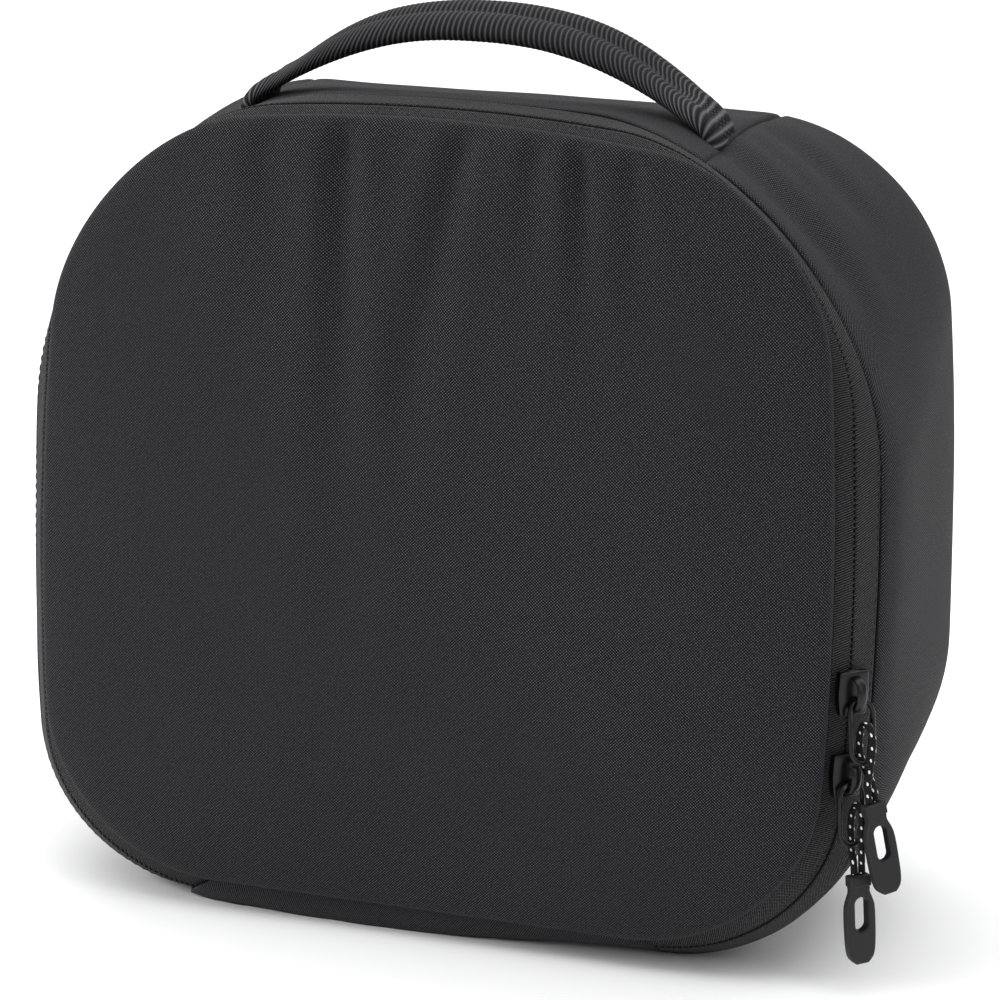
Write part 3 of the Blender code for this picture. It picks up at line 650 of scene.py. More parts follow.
rear_skin = lay_panel(CHAIN, TAPE_EDGE, 6, HINGE_END, AROUND - HINGE_END)
press(rear_skin, rear_tape_relief)
tape_rear = make_piece(rear_skin, "tape_rear", "zip_tape_rear", TAPE_CLOTH)

hinge_skin = lay_panel(SEAM, TAPE_EDGE, 8, -HINGE_END, HINGE_END)
press(hinge_skin, hinge_relief)
hinge = make_piece(hinge_skin, "hinge", "hinge_band", HINGE_CLOTH)
print("strips:", tape_front.name, tape_rear.name, hinge.name)

# %% The coil's ribs
RIB_PITCH = 0.00178
RIB_SIZE = Vector((0.0010, 0.0015, 0.0004))
RIB_OFFSET = 0.0011
RIB_SINK = 0.00012


def outward(first, second, i):
    """The skin's outward direction at point i of section first, seen towards second."""
    ring = SECTIONS[first]
    along = ring[(i + 1) % AROUND] - ring[i - 1]
    across = SECTIONS[second][i % AROUND] - ring[i % AROUND]
    return across.cross(along).normalized()


def every(line, pitch):
    """Places along a line at an even pitch: a point, and the stretch that it is on."""
    left = pitch / 2
    for k, (a, b) in enumerate(zip(line, line[1:])):
        span = (b - a).length
        while left < span:
            yield a.lerp(b, left / span), k, left / span
            left += pitch
        left -= span


def seam_line(section_at, toward, inset, sink=0.0):
    """A line beside a section, drawn towards another, and its outward directions."""
    line, outs = [], []
    for i in range(HINGE_END, AROUND - HINGE_END + 1):
        edge = SECTIONS[section_at][i]
        out = outward(min(section_at, toward), max(section_at, toward), i)
        step = (SECTIONS[toward][i] - edge).normalized()
        line.append(edge + step * inset - out * sink)
        outs.append(out)
    return line, outs


def add_ball(balls, place, along, out, size):
    """A small flattened ball, long in the seam's direction."""
    across = out.cross(along).normalized()
    turn = Matrix((along, across, out)).transposed().to_4x4()
    shape = Matrix.Translation(place) @ turn @ Matrix.Diagonal((*(size / 2), 1))
    bmesh.ops.create_icosphere(balls, subdivisions=1, radius=1, matrix=shape)


def rib_row(balls, toward):
    """Ribs beside the zip's middle line, on the side of one of the two seams."""
    count = 0
    line, outs = seam_line(CHAIN, toward, RIB_OFFSET)
    for point, k, _ in every(line, RIB_PITCH):
        along = (line[k + 1] - line[k]).normalized()
        add_ball(balls, point - outs[k] * RIB_SINK, along, outs[k], RIB_SIZE)
        count += 1
    return count


rib_balls = bmesh.new()
rib_count = rib_row(rib_balls, SEAM) + rib_row(rib_balls, TAPE_EDGE)
ribs = finish_mesh(rib_balls, "coil_ribs")
print("ribs:", rib_count)

# %% [markdown]
# ## Stitches
# A seam is easiest to believe when its thread shows. Each stitch is a small flattened
# ball, long in the seam's direction, and half sunk into the cloth. One row of them runs
# along each of the zip's tapes.

# %% Rows of stitches
STITCH_PITCH = 0.0031
STITCH_SIZE = Vector((0.0023, 0.0005, 0.0004))
STITCH_SINK = 0.00012
STITCH_ROWS = ((SEAM, 0.0032), (TAPE_EDGE, 0.0022))


def stitch_row(balls, seam, inset):
    """Stitches on the tape beside one of its seams."""
    count = 0
    line, outs = seam_line(seam, CHAIN, inset, STITCH_SINK)
    for point, k, share in every(line, STITCH_PITCH):
        along = (line[k + 1] - line[k]).normalized()
        out = outs[k].lerp(outs[k + 1], share).normalized()
        add_ball(balls, point, along, out, STITCH_SIZE)
        count += 1
    return count


stitch_balls = bmesh.new()
stitch_count = sum(stitch_row(stitch_balls, seam, inset) for seam, inset in STITCH_ROWS)
stitches = finish_mesh(stitch_balls, "stitches")
print("stitches:", stitch_count)

# %% [markdown]
# ## Bars grown ring by ring
# Webbing, wire and cord all have one section that runs along a line. So a ring of points
# is made once and extruded along the line, and each new ring keeps the order of the last.
# The run along the line and the way round it become the UV, in metres.

# %% Helpers that grow a bar
def first_ring(block, count):
    """The ring of points that a bar grows from, in the order of their angles."""
    verts = bmesh.ops.create_circle(block, segments=count, radius=1)["verts"]
    verts.sort(key=lambda v: math.atan2(v.co.y, v.co.x))
    ring = set(verts)
    return verts, [e for e in block.edges if e.verts[0] in ring]


def next_ring(block, verts, edges):
    """Extrudes the last ring once more, and gives the new one in the same order."""
    made = bmesh.ops.extrude_edge_only(block, edges=edges)["geom"]
    fresh = [g for g in made if isinstance(g, bmesh.types.BMVert)]
    place = {v: i for i, v in enumerate(verts)}
    order = {v: place[e.other_vert(v)] for v in fresh for e in v.link_edges
             if e.other_vert(v) in place}
    ring = set(fresh)
    edges = [g for g in made if isinstance(g, bmesh.types.BMEdge)
             and g.verts[0] in ring and g.verts[1] in ring]
    return sorted(fresh, key=lambda v: order[v]), edges


def wrap_cloth(faces, cut, marks, count, girth):
    """Gives each corner its run along the bar and its way round it."""
    for face in faces:
        turns = [marks[c.vert][1] for c in face.loops]
        wrap = max(turns) - min(turns) > count / 2
        for corner in face.loops:
            run, k = marks[corner.vert]
            k = k + count if wrap and k < count / 2 else k
            corner[cut].uv = (run, girth * k / count)


print("ring tools ready")

# %% [markdown]
# ## The handle
# The handle is one ribbed webbing folded lengthwise into two rolls and sewn down flat at
# its ends. A ring of points with the section's shape is extruded along an arch, one ring
# after the other. Every sixth ring swells a little, and that makes the webbing's ribs.

# %% The handle's arch
HANDLE_RISE = 0.0300
HANDLE_WIDTH = 0.025
HANDLE_ROLL = 0.0095
HANDLE_FULL = 1.3
HANDLE_FLAT = 0.0035
HANDLE_BACK = 0.0425
HANDLE_ARCH = 2.3
FULL_START = 0.20
FULL_SPAN = 0.50
FLAT_START = 0.90
TURN_DOWN = 0.75
HANDLE_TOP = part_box("handle")[1].z


def handle_roll(share):
    """The rolls' thickness: it grows from the middle outwards, and is flat where it is sewn."""
    if share < FULL_START:
        return HANDLE_ROLL
    if share < FLAT_START:
        full = min(1.0, (share - FULL_START) / FULL_SPAN)
        return HANDLE_ROLL * (1 + (HANDLE_FULL - 1) * full * full * (3 - 2 * full))
    flat = (share - FLAT_START) / (1 - FLAT_START)
    return HANDLE_ROLL * HANDLE_FULL * (1 - flat) + HANDLE_FLAT * flat


def arch_point(share):
    """Middle, up direction and thickness at a share of the half span, from -1 to 1."""
    half = HANDLE_SPAN / 2
    root = HANDLE_TOP - HANDLE_RISE - HANDLE_ROLL / 2
    z = root + HANDLE_RISE * (1 - abs(share) ** HANDLE_ARCH)
    slope = -HANDLE_RISE / half * HANDLE_ARCH * abs(share) ** (HANDLE_ARCH - 1)
    slope = math.copysign(slope, -share) if share else 0.0
    near = max(0.0, (abs(share) - TURN_DOWN) / (1 - TURN_DOWN))
    tilt = Vector((slope, 0, 1)).normalized()
    flat = Vector((math.copysign(1, share), 0, 0))
    up = (tilt * (1 - near ** 3) + flat * near ** 3).normalized()
    x = half * share - math.copysign(HANDLE_FLAT, share) * near ** 3 / 2
    return Vector((x, FRONT + HANDLE_BACK, z)), up, handle_roll(abs(share))


ARCH_STEPS = 400
ARCH = [arch_point(math.sin(math.pi / 2 * step / ARCH_STEPS))
        for step in range(-ARCH_STEPS, ARCH_STEPS + 1)]
print("highest point of the arch, mm:", round(1000 * max(middle.z for middle, up, roll in ARCH), 1))

# %% [markdown]
# The two rolls lie side by side, so the section is a pair of arcs that nearly close. Near
# the sewn ends the arcs open, and the valley between the rolls goes. The ribs slant one
# way on the front roll and the other way on the rear one, because the webbing is folded.

# %% The handle's section and its webbing
ROLL_STEPS = 20
ROLL_MIDDLE = 0.25
ROLL_TURN = math.radians(152)
FLAT_TURN = math.radians(96)
ROLL_SHARE = 0.84
HANDLE_TILT = 0.15
TILT_AXIS = 0.3
WEB_PITCH = 0.00165
RINGS_A_RIB = 6
RIB_SLANTS = {1: 0.25, -1: -0.4}
RIB_GROW = 0.03
RIB_SHARPNESS = 1.4
RIB_STRAIGHT = 0.035
SINK_LENGTH = 0.009
SINK_DEPTH = 0.003
OPEN_LENGTH = 0.016
# Within this far of a sewn end the painted crest highlight grows to full strength.
DULL_LENGTH = 0.03
WEB_GIRTH = 3.4
JUST_UNDER = 0.9999


def roll_section(flat):
    """Across and up for the outline of two rolls. At flat 1 their valley is gone."""
    points = []
    sweep = ROLL_TURN + (FLAT_TURN - ROLL_TURN) * flat
    for side in (1, -1):
        for i in range(ROLL_STEPS):
            turn = sweep * (2 * (i + 0.5) / ROLL_STEPS - 1) + (math.pi if side < 0 else 0)
            across = side * ROLL_MIDDLE + ROLL_MIDDLE * math.cos(turn)
            points.append((across, 0.5 * math.sin(turn), side))
    return points


def rib_height(ring, across, side, to_end):
    """From 0 between two ribs to 1 on a rib. The slant vanishes towards the sewn ends."""
    slant = (across - side * ROLL_MIDDLE) * RIB_SLANTS[side]
    offset = (slant + (0.5 if side > 0 else 0)) * min(1.0, to_end / RIB_STRAIGHT)
    wave = math.cos(2 * math.pi * (ring / RINGS_A_RIB + offset))
    return (0.5 + 0.5 * wave) ** RIB_SHARPNESS


def make_handle():
    """The webbing as one bar along the arch, sunk into the top at both ends."""
    count = 2 * ROLL_STEPS
    line = [middle for middle, up, roll in ARCH]
    total = length_of(line)
    rings = round(total / WEB_PITCH) * RINGS_A_RIB
    web = bmesh.new()
    cut = web.loops.layers.uv.new("cloth")
    crest_highlight = web.verts.layers.float.new("crest_highlight")
    verts, edges = first_ring(web, count)
    marks = {}
    pitch = total / rings * JUST_UNDER
    for n, (point, k, share) in enumerate(every(line, pitch)):
        up = ARCH[k][1].lerp(ARCH[k + 1][1], share).normalized()
        roll = ARCH[k][2] * (1 - share) + ARCH[k + 1][2] * share
        run = total * (n + 0.5) / rings
        to_end = min(run, total - run)
        sink = max(0.0, 1 - to_end / SINK_LENGTH)
        flat = max(0.0, 1 - to_end / OPEN_LENGTH)
        if n:
            verts, edges = next_ring(web, verts, edges)
        for i, (v, (across, lift, side)) in enumerate(zip(verts, roll_section(flat))):
            top = rib_height(n, across, side, to_end)
            grow = 1 + RIB_GROW * (top - 0.5)
            wide = side * ROLL_MIDDLE + (across - side * ROLL_MIDDLE) * grow
            v.co = point + Vector((0, wide * HANDLE_WIDTH, 0))
            v.co += up * lift * roll * grow * ROLL_SHARE
            v.co.z += (across - TILT_AXIS) * HANDLE_WIDTH * HANDLE_TILT * (1 - flat)
            v.co.z -= SINK_DEPTH * sink * sink
            # A painted highlight on each rib's crest, full near the sewn ends and half as strong in
            # the middle.
            v[crest_highlight] = top ** 3 * (0.5 + 0.5 * max(0.0, 1 - to_end / DULL_LENGTH))
            marks[v] = (run, i)
    wrap_cloth(web.faces, cut, marks, count, HANDLE_WIDTH * WEB_GIRTH)
    bmesh.ops.holes_fill(web, edges=[e for e in web.edges if e.is_boundary], sides=0)
    bmesh.ops.recalc_face_normals(web, faces=web.faces)
    return web, total


handle_web, handle_length = make_handle()
handle = finish_mesh(handle_web, "webbing_handle")
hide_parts("handle")
print("handle:", round(1000 * handle_length), "mm of webbing,", len(handle.data.polygons), "faces")

# %% [markdown]
# ## Sliders and their rings
# A slider seen from outside is a small painted plate with a bridge over it, and the bridge
# holds a wire ring. The plate is a bevelled block narrowed towards its lower end. The
# bridge is a flat bar grown along an arch, and the ring is a round bar along a long oval.

# %% Slider helpers
SLIDER_WIDTH = 0.0102
SLIDER_LENGTH = 0.013
SLIDER_PLATE = 0.0026
SLIDER_SEAT = 0.0003
SLIDER_CROWN = 0.0004
SLIDER_EDGE = 0.24
SLIDER_WAIST = 0.16
SLIDER_SHOULDER = 0.05
SHARP_ANGLE = 1.0
BRIDGE_WIRE = 0.0013
BRIDGE_WIDTH = 0.0032
BRIDGE_REACH = 0.0048
BRIDGE_SLACK = 0.0006
BRIDGE_STEPS = 24
BRIDGE_ROUND = 0.6
RING_WIDTH = 0.0092
RING_LENGTH = 0.0195
RING_WIRE = 0.0014
RING_CLEAR = 0.0006
RING_SHIFT = 0.0012
RING_SWING = 0.0030
RING_HANG = 0.4
RING_OVAL = 1.02
RING_STEPS = 20


def axes_matrix(point, side, up, face):
    """Carries a block from the origin to a point, and turns it to three axes."""
    return Matrix.Translation(point) @ Matrix((side, up, face)).transposed().to_4x4()


def round_edges(block, edges, width):
    """Bevels some edges in three steps."""
    bmesh.ops.bevel(block, geom=edges, offset=width, segments=3,
                    affect="EDGES", profile=0.5, material=-1)


def add_bar(bar, points, wide, thick, sides=12, closed=False, flat_side=None):
    """Grows a bar along a line, with a round or an oval section."""
    cut = bar.loops.layers.uv.verify()
    old = set(bar.faces)
    count = len(points)
    verts, edges = first_ring(bar, sides)
    first_edges = edges
    run = 0.0
    marks = {}
    side = flat_side
    for n, point in enumerate(points):
        ahead = points[(n + 1) % count] if closed or n + 1 < count else point
        behind = points[n - 1] if closed or n else point
        along = (ahead - behind).normalized()
        if side is None:
            side = along.orthogonal()
        side = (side - along * side.dot(along)).normalized()
        other = along.cross(side)
        if n:
            run += (point - points[n - 1]).length
            verts, edges = next_ring(bar, verts, edges)
        for k, v in enumerate(verts):
            turn = 2 * math.pi * k / sides
            v.co = point + side * math.cos(turn) * wide / 2 + other * math.sin(turn) * thick / 2
            marks[v] = (run, k)
    if closed:
        bmesh.ops.bridge_loops(bar, edges=first_edges + edges)
    else:
        bmesh.ops.holes_fill(bar, edges=first_edges + edges, sides=0)
    fresh = [face for face in bar.faces if face not in old]
    wrap_cloth(fresh, cut, marks, sides, math.pi * (wide + thick) / 2)


def outward_faces(block):
    """The block with all its faces turned outwards."""
    bmesh.ops.recalc_face_normals(block, faces=block.faces)
    return block


print("bar tools ready")

# %% Sliders
def make_slider(name, height):
    """A plate on the zip at this height, with its bridge."""
    point, across, out = zip_frame(height)
    up = out.cross(across)
    block = bmesh.new()
    size = Matrix.Diagonal((SLIDER_WIDTH, SLIDER_LENGTH, SLIDER_PLATE, 1))
    plate = bmesh.ops.create_cube(block, size=1, matrix=size)["verts"]
    base = SLIDER_SEAT + SLIDER_PLATE / 2
    bmesh.ops.translate(block, verts=plate, vec=(0, 0, base))
    bmesh.ops.subdivide_edges(block, edges=list(block.edges), cuts=3, use_grid_fill=True)
    for v in block.verts:
        share = v.co.y / (SLIDER_LENGTH / 2)
        waist = 1 - SLIDER_WAIST * max(0.0, -share) ** 1.5 - SLIDER_SHOULDER * max(0.0, share)
        v.co.x *= waist
        v.co.z -= SLIDER_CROWN * (v.co.x / (SLIDER_WIDTH / 2)) ** 2
    sharp = [e for e in block.edges if e.calc_face_angle(0) > SHARP_ANGLE]
    round_edges(block, sharp, SLIDER_PLATE * SLIDER_EDGE)
    rise = SLIDER_PLATE / 2 + RING_WIRE + 2 * RING_CLEAR + BRIDGE_SLACK + BRIDGE_WIRE / 2
    arch = []
    for i in range(BRIDGE_STEPS + 1):
        turn = math.pi * i / BRIDGE_STEPS
        lift = rise * max(0.0, math.sin(turn)) ** BRIDGE_ROUND
        arch.append(Vector((0, BRIDGE_REACH * math.cos(turn), base + lift)))
    add_bar(block, arch, BRIDGE_WIDTH, BRIDGE_WIRE, 16, flat_side=Vector((1, 0, 0)))
    bmesh.ops.transform(block, matrix=axes_matrix(point, across, up, out), verts=block.verts)
    slider = finish_mesh(outward_faces(block), name)
    return slider


for level, height in (("upper", SLIDER_UPPER_HEIGHT), ("lower", SLIDER_LOWER_HEIGHT)):
    slider = make_slider("zip_slider_" + level, height)
    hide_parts("slider_" + level)
    print(slider.name, len(slider.data.polygons), "faces")


# %% Wire rings
def make_ring(name, height, shift, swing):
    """A long ring that hangs from a bridge, moved across the zip and swung out from it."""
    point, across, out = zip_frame(height)
    seat = SLIDER_SEAT + SLIDER_PLATE + RING_CLEAR + RING_WIRE / 2
    hang = BRIDGE_REACH * RING_HANG
    half = RING_WIDTH / 2 - RING_WIRE / 2
    straight = RING_LENGTH / 2 - RING_WIRE / 2 - half
    top = point + out * seat + across * shift - Vector((0, 0, hang))
    down = (out * swing - Vector((0, 0, RING_LENGTH - RING_WIRE))).normalized()
    middle = top + down * (RING_LENGTH / 2 - RING_WIRE / 2)
    path = []
    for end in (1, -1):
        for i in range(RING_STEPS + 1):
            turn = math.pi * i / RING_STEPS
            side = half * math.cos(turn) * end
            along = -(straight + half * math.sin(turn)) * end
            path.append(middle + across * side + down * along)
    block = bmesh.new()
    add_bar(block, path, RING_WIRE, RING_WIRE * RING_OVAL, 14, True, across.cross(down))
    ring = finish_mesh(outward_faces(block), name)
    return ring


ring_upper = make_ring("wire_ring_upper", SLIDER_UPPER_HEIGHT, RING_SHIFT, RING_SWING)
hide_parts("pull_ring_upper")
ring_lower = make_ring("wire_ring_lower", SLIDER_LOWER_HEIGHT, 0.0, RING_SWING * 0.6)
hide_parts("pull_ring_lower")
print("rings:", ring_upper.name, ring_lower.name)

# %% [markdown]
# ## Moulded tags and their cords
# The tag is moulded in one piece over the cord's two ends: a squared collar, a neck, and
# a long body with an oval slot. Two loops of points, the outline and the slot, are
# bridged to a flat face, and the face is thickened and its edges are rounded.

# %% Tags
TAG_LENGTH = 0.027
TAG_WIDTH = 0.0094
TAG_TURN = math.radians(3)
TAG_THICK = 0.0034
TAG_OUTLINE = [
    (0.0, 0.30), (0.03, 0.33), (0.10, 0.34), (0.15, 0.33), (0.20, 0.33), (0.26, 0.40),
    (0.35, 0.48), (0.50, 0.50), (0.70, 0.49), (0.85, 0.46), (0.94, 0.38), (1.0, 0.20),
]
SLOT_MIDDLE = 0.44
SLOT_LENGTH = 0.19
SLOT_WIDTH = 0.22
TAG_EDGE = 0.0008
COLLAR_WIDTH = 0.0068
COLLAR_LENGTH = 0.0034
COLLAR_GROW = 1.12
COLLAR_DROP = 0.0019
COLLAR_EDGE = 0.0005


def tag_loops(steps=2):
    """The tag's rim and its slot, with as many points each."""
    half = [Vector((h * TAG_WIDTH, d * TAG_LENGTH, 0)) for d, h in TAG_OUTLINE]
    half = smooth_line(half, steps)
    rim = half + [Vector((-p.x, p.y, 0)) for p in reversed(half)]
    slot = []
    long = SLOT_LENGTH * TAG_LENGTH
    wide = SLOT_WIDTH * TAG_WIDTH
    for i in range(len(rim)):
        turn = -math.pi / 2 + 2 * math.pi * (i + 0.5) / len(rim)
        end = (long - wide) * (1 if math.sin(turn) > 0 else -1)
        slot.append(Vector((
            wide * math.cos(turn), SLOT_MIDDLE * TAG_LENGTH + end + wide * math.sin(turn), 0)))
    return rim, slot


def make_tag(name, top, side, down):
    """A tag that hangs from the point top, with its width along side."""
    block = bmesh.new()
    edges = []
    for loop in tag_loops():
        verts = bmesh.ops.create_circle(block, segments=len(loop), radius=1)["verts"]
        verts.sort(key=lambda v: math.atan2(v.co.y, v.co.x))
        for v, spot in zip(verts, loop):
            v.co = spot
        edges += [e for e in block.edges if e.verts[0] in verts and e.verts[1] in verts]
    faces = bmesh.ops.bridge_loops(block, edges=edges)["faces"]
    bmesh.ops.translate(block, verts=block.verts, vec=(0, 0, -TAG_THICK / 2))
    grown = bmesh.ops.extrude_face_region(block, geom=faces)["geom"]
    lifted = [g for g in grown if isinstance(g, bmesh.types.BMVert)]
    bmesh.ops.translate(block, verts=lifted, vec=(0, 0, TAG_THICK))
    outward_faces(block)
    sharp = [e for e in block.edges if e.calc_face_angle(0) > SHARP_ANGLE]
    round_edges(block, sharp, TAG_EDGE)
    old = set(block.verts)
    size = Matrix.Diagonal((COLLAR_WIDTH, COLLAR_LENGTH, TAG_THICK * COLLAR_GROW, 1))
    collar = bmesh.ops.create_cube(block, size=1, matrix=size)["verts"]
    rims = [e for e in block.edges if e.verts[0] not in old and e.verts[1] not in old]
    bmesh.ops.translate(block, verts=collar, vec=(0, COLLAR_DROP, 0))
    round_edges(block, rims, COLLAR_EDGE)
    side = side * math.cos(TAG_TURN) - side.cross(down) * math.sin(TAG_TURN)
    face = side.cross(down)
    bmesh.ops.transform(block, matrix=axes_matrix(top, side, down, face), verts=block.verts)
    tag = finish_mesh(outward_faces(block), name)
    flat_faces = tag.modifiers.new("flat_faces", "WEIGHTED_NORMAL")
    flat_faces.keep_sharp = True
    return tag


# %% Cords with their tags
for level, route in CORD_ROUTES.items():
    line, top, side, down = cord_line(route, 5)
    tag = make_tag("moulded_tag_" + level, top, side, down)
    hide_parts("pull_tag_" + level)
    strand = bmesh.new()
    add_bar(strand, line, CORD, CORD, 12)
    loop_cord = finish_mesh(outward_faces(strand), "loop_cord_" + level)
    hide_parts("pull_cord_" + level)
    tuple(line[0])
    round(length_of(line), 4)
    [tuple(p) for p in line]
    print(loop_cord.name, round(1000 * length_of(line), 1), "mm")

# %% [markdown]
# ## Finishes
# Black things differ in their small structure, not in their base colour. The cloth has a plain
# weave whose thread tops catch the light in diagonals, painted as light glints, the tapes a
# finer and tighter one, the webbing ribs with painted highlights on their crests, the cord
# white flecks, and the moulded tags a satin grain. Painted shade darkens the cloth beside
# its seams. Effects that several finishes use, the weave and the soft shade, are node
# groups built once.

# %% Node helpers
def node_of(tree, kind, **values):
    """A new node with its settings."""
    node = tree.nodes.new(kind)
    for key, value in values.items():
        setattr(node, key, value)
    return node


def math_node(tree, operation, first, second=None, third=None):
    """One sum. Each value is a number or another node's output."""
    node = node_of(tree, "ShaderNodeMath", operation=operation)
    for socket, value in zip(node.inputs, (first, second, third)):
        if isinstance(value, (int, float)):
            socket.default_value = value
        elif value is not None:
            tree.links.new(value, socket)
    return node.outputs[0]


def new_group(name, inputs, outputs):
    """An empty node group with its sockets."""
    tree = bpy.data.node_groups.new(name, "ShaderNodeTree")
    for label, kind, value in inputs:
        socket = tree.interface.new_socket(name=label, in_out="INPUT", socket_type=kind)
        if value is not None:
            socket.default_value = value
    for label, kind in outputs:
        tree.interface.new_socket(name=label, in_out="OUTPUT", socket_type=kind)
    return tree, tree.nodes.new("NodeGroupInput"), tree.nodes.new("NodeGroupOutput")


def weave_group():
    """A plain weave: thread tops in a chequer of waves, and a mask of the highest for painted glints.
    """
    tree, start, end = new_group(
        "plain_weave",
        [("Place", "NodeSocketVector", None), ("Pitch", "NodeSocketFloat", 0.0006),
         ("Glints", "NodeSocketFloat", 0.5)],
        [("Height", "NodeSocketFloat"), ("Glint", "NodeSocketFloat")],
    )
    parts = node_of(tree, "ShaderNodeSeparateXYZ")
    wobble = node_of(tree, "ShaderNodeTexNoise")
    wobble.inputs["Scale"].default_value = 260
    wobble.inputs["Detail"].default_value = 1
    tree.links.new(start.outputs["Place"], wobble.inputs["Vector"])
    tree.links.new(start.outputs["Place"], parts.inputs[0])
    waves = []
    for axis in (0, 1):
        turn = math_node(tree, "DIVIDE", parts.outputs[axis], start.outputs["Pitch"])
        drift = math_node(tree, "MULTIPLY_ADD", wobble.outputs["Fac"], 0.35, turn)
        waves.append(math_node(tree, "SINE", math_node(tree, "MULTIPLY", drift, math.pi * 2)))
    product = math_node(tree, "MULTIPLY", waves[0], waves[1])
    height = math_node(tree, "MULTIPLY_ADD", product, 0.5, 0.5)
    tree.links.new(height, end.inputs["Height"])
    # The glint mask: painted highlights on the highest thread tops, thinned out at random.
    top = node_of(tree, "ShaderNodeMapRange", interpolation_type="SMOOTHSTEP")
    top.inputs["From Min"].default_value = 0.52
    top.inputs["From Max"].default_value = 0.92
    tree.links.new(height, top.inputs["Value"])
    random = node_of(tree, "ShaderNodeTexNoise")
    random.inputs["Scale"].default_value = 1500
    random.inputs["Detail"].default_value = 2
    tree.links.new(start.outputs["Place"], random.inputs["Vector"])
    spread = node_of(tree, "ShaderNodeMapRange")
    spread.inputs["From Min"].default_value = 0.35
    spread.inputs["From Max"].default_value = 0.65
    spread.inputs["To Min"].default_value = 0.35
    tree.links.new(random.outputs["Fac"], spread.inputs["Value"])
    amount = math_node(tree, "MULTIPLY", spread.outputs[0], start.outputs["Glints"])
    tree.links.new(math_node(tree, "MULTIPLY", top.outputs[0], amount), end.inputs["Glint"])
    return tree


def soft_shade_group():
    """Slow changes of a colour over the object, as from handling and dust."""
    tree, start, end = new_group(
        "soft_shade",
        [("Place", "NodeSocketVector", None), ("Color", "NodeSocketColor", None),
         ("Dusty", "NodeSocketColor", None), ("Amount", "NodeSocketFloat", 0.3)],
        [("Color", "NodeSocketColor"), ("Dust", "NodeSocketFloat")],
    )
    slow = node_of(tree, "ShaderNodeTexNoise")
    slow.inputs["Scale"].default_value = 28
    slow.inputs["Detail"].default_value = 5
    slow.inputs["Roughness"].default_value = 0.62
    tree.links.new(start.outputs["Place"], slow.inputs["Vector"])
    spread = node_of(tree, "ShaderNodeMapRange")
    spread.inputs["From Min"].default_value = 0.3
    spread.inputs["From Max"].default_value = 0.75
    tree.links.new(slow.outputs["Fac"], spread.inputs["Value"])
    share = math_node(tree, "MULTIPLY", spread.outputs[0], start.outputs["Amount"])
    mix = node_of(tree, "ShaderNodeMix", data_type="RGBA")
    tree.links.new(share, mix.inputs["Factor"])
    tree.links.new(start.outputs["Color"], mix.inputs["A"])
    tree.links.new(start.outputs["Dusty"], mix.inputs["B"])
    tree.links.new(mix.outputs["Result"], end.inputs["Color"])
    tree.links.new(share, end.inputs["Dust"])
    return tree


WEAVE = weave_group()
SOFT_SHADE = soft_shade_group()
print("groups:", WEAVE.name, SOFT_SHADE.name)


# %% The start of every finish
# The colour of the painted shade in the seams' grooves.
SEAM_SHADE_COLOR = (0.0015, 0.0015, 0.0017)


def new_finish(name, roughness, sheen=0.0, specular=0.5, coat=0.0, ior=1.45):
    """A material whose steady values are set. What varies is linked afterwards."""
    finish = bpy.data.materials.new(name)
    finish.use_nodes = True
    tree = finish.node_tree
    shader = tree.nodes["Principled BSDF"]
    shader.inputs["Roughness"].default_value = roughness
    shader.inputs["Specular IOR Level"].default_value = specular
    shader.inputs["IOR"].default_value = ior
    shader.inputs["Sheen Weight"].default_value = sheen
    shader.inputs["Sheen Roughness"].default_value = 0.45
    shader.inputs["Sheen Tint"].default_value = (1, 1, 1, 1)
    shader.inputs["Coat Weight"].default_value = coat
    shader.inputs["Coat Roughness"].default_value = 0.2
    places = node_of(tree, "ShaderNodeTexCoord")
    return finish, tree, shader, places


def shade_of(tree, places, color, dusty, amount):
    """The base colour, slowly changing over the object towards a dustier one."""
    shade = node_of(tree, "ShaderNodeGroup", node_tree=SOFT_SHADE)
    tree.links.new(places.outputs["Object"], shade.inputs["Place"])
    shade.inputs["Color"].default_value = (*color, 1)
    shade.inputs["Dusty"].default_value = (*dusty, 1)
    shade.inputs["Amount"].default_value = amount
    return shade.outputs["Color"]


def mix_color(tree, factor, base, other):
    """Goes from base to other. Each is a colour or another node's output."""
    mix = node_of(tree, "ShaderNodeMix", data_type="RGBA")
    tree.links.new(factor, mix.inputs["Factor"])
    for label, value in (("A", base), ("B", other)):
        if isinstance(value, tuple):
            mix.inputs[label].default_value = (*value, 1)
        else:
            tree.links.new(value, mix.inputs[label])
    return mix.outputs["Result"]


def add_bump(tree, shader, height, distance, strength=1.0):
    bump = node_of(tree, "ShaderNodeBump")
    bump.inputs["Strength"].default_value = strength
    bump.inputs["Distance"].default_value = distance
    tree.links.new(height, bump.inputs["Height"])
    tree.links.new(bump.outputs[0], shader.inputs["Normal"])


def seam_shadow(tree, places, color, reach=0.0011):
    """Paints shade on the first millimetre or two of a panel, which are turned in to its seam."""
    parts = node_of(tree, "ShaderNodeSeparateXYZ")
    tree.links.new(places.outputs["UV"], parts.inputs[0])
    shade = node_of(tree, "ShaderNodeMapRange", interpolation_type="SMOOTHSTEP")
    shade.inputs["From Min"].default_value = reach * 0.35
    shade.inputs["From Max"].default_value = reach
    tree.links.new(parts.outputs[1], shade.inputs["Value"])
    return mix_color(tree, shade.outputs[0], SEAM_SHADE_COLOR, color)


def link_roughness(tree, shader, value, low, high):
    """The roughness goes from low to high where the value goes from 0 to 1."""
    spread = node_of(tree, "ShaderNodeMapRange")
    spread.inputs["To Min"].default_value = low
    spread.inputs["To Max"].default_value = high
    tree.links.new(value, spread.inputs["Value"])
    tree.links.new(spread.outputs[0], shader.inputs["Roughness"])


print("finish tools ready")


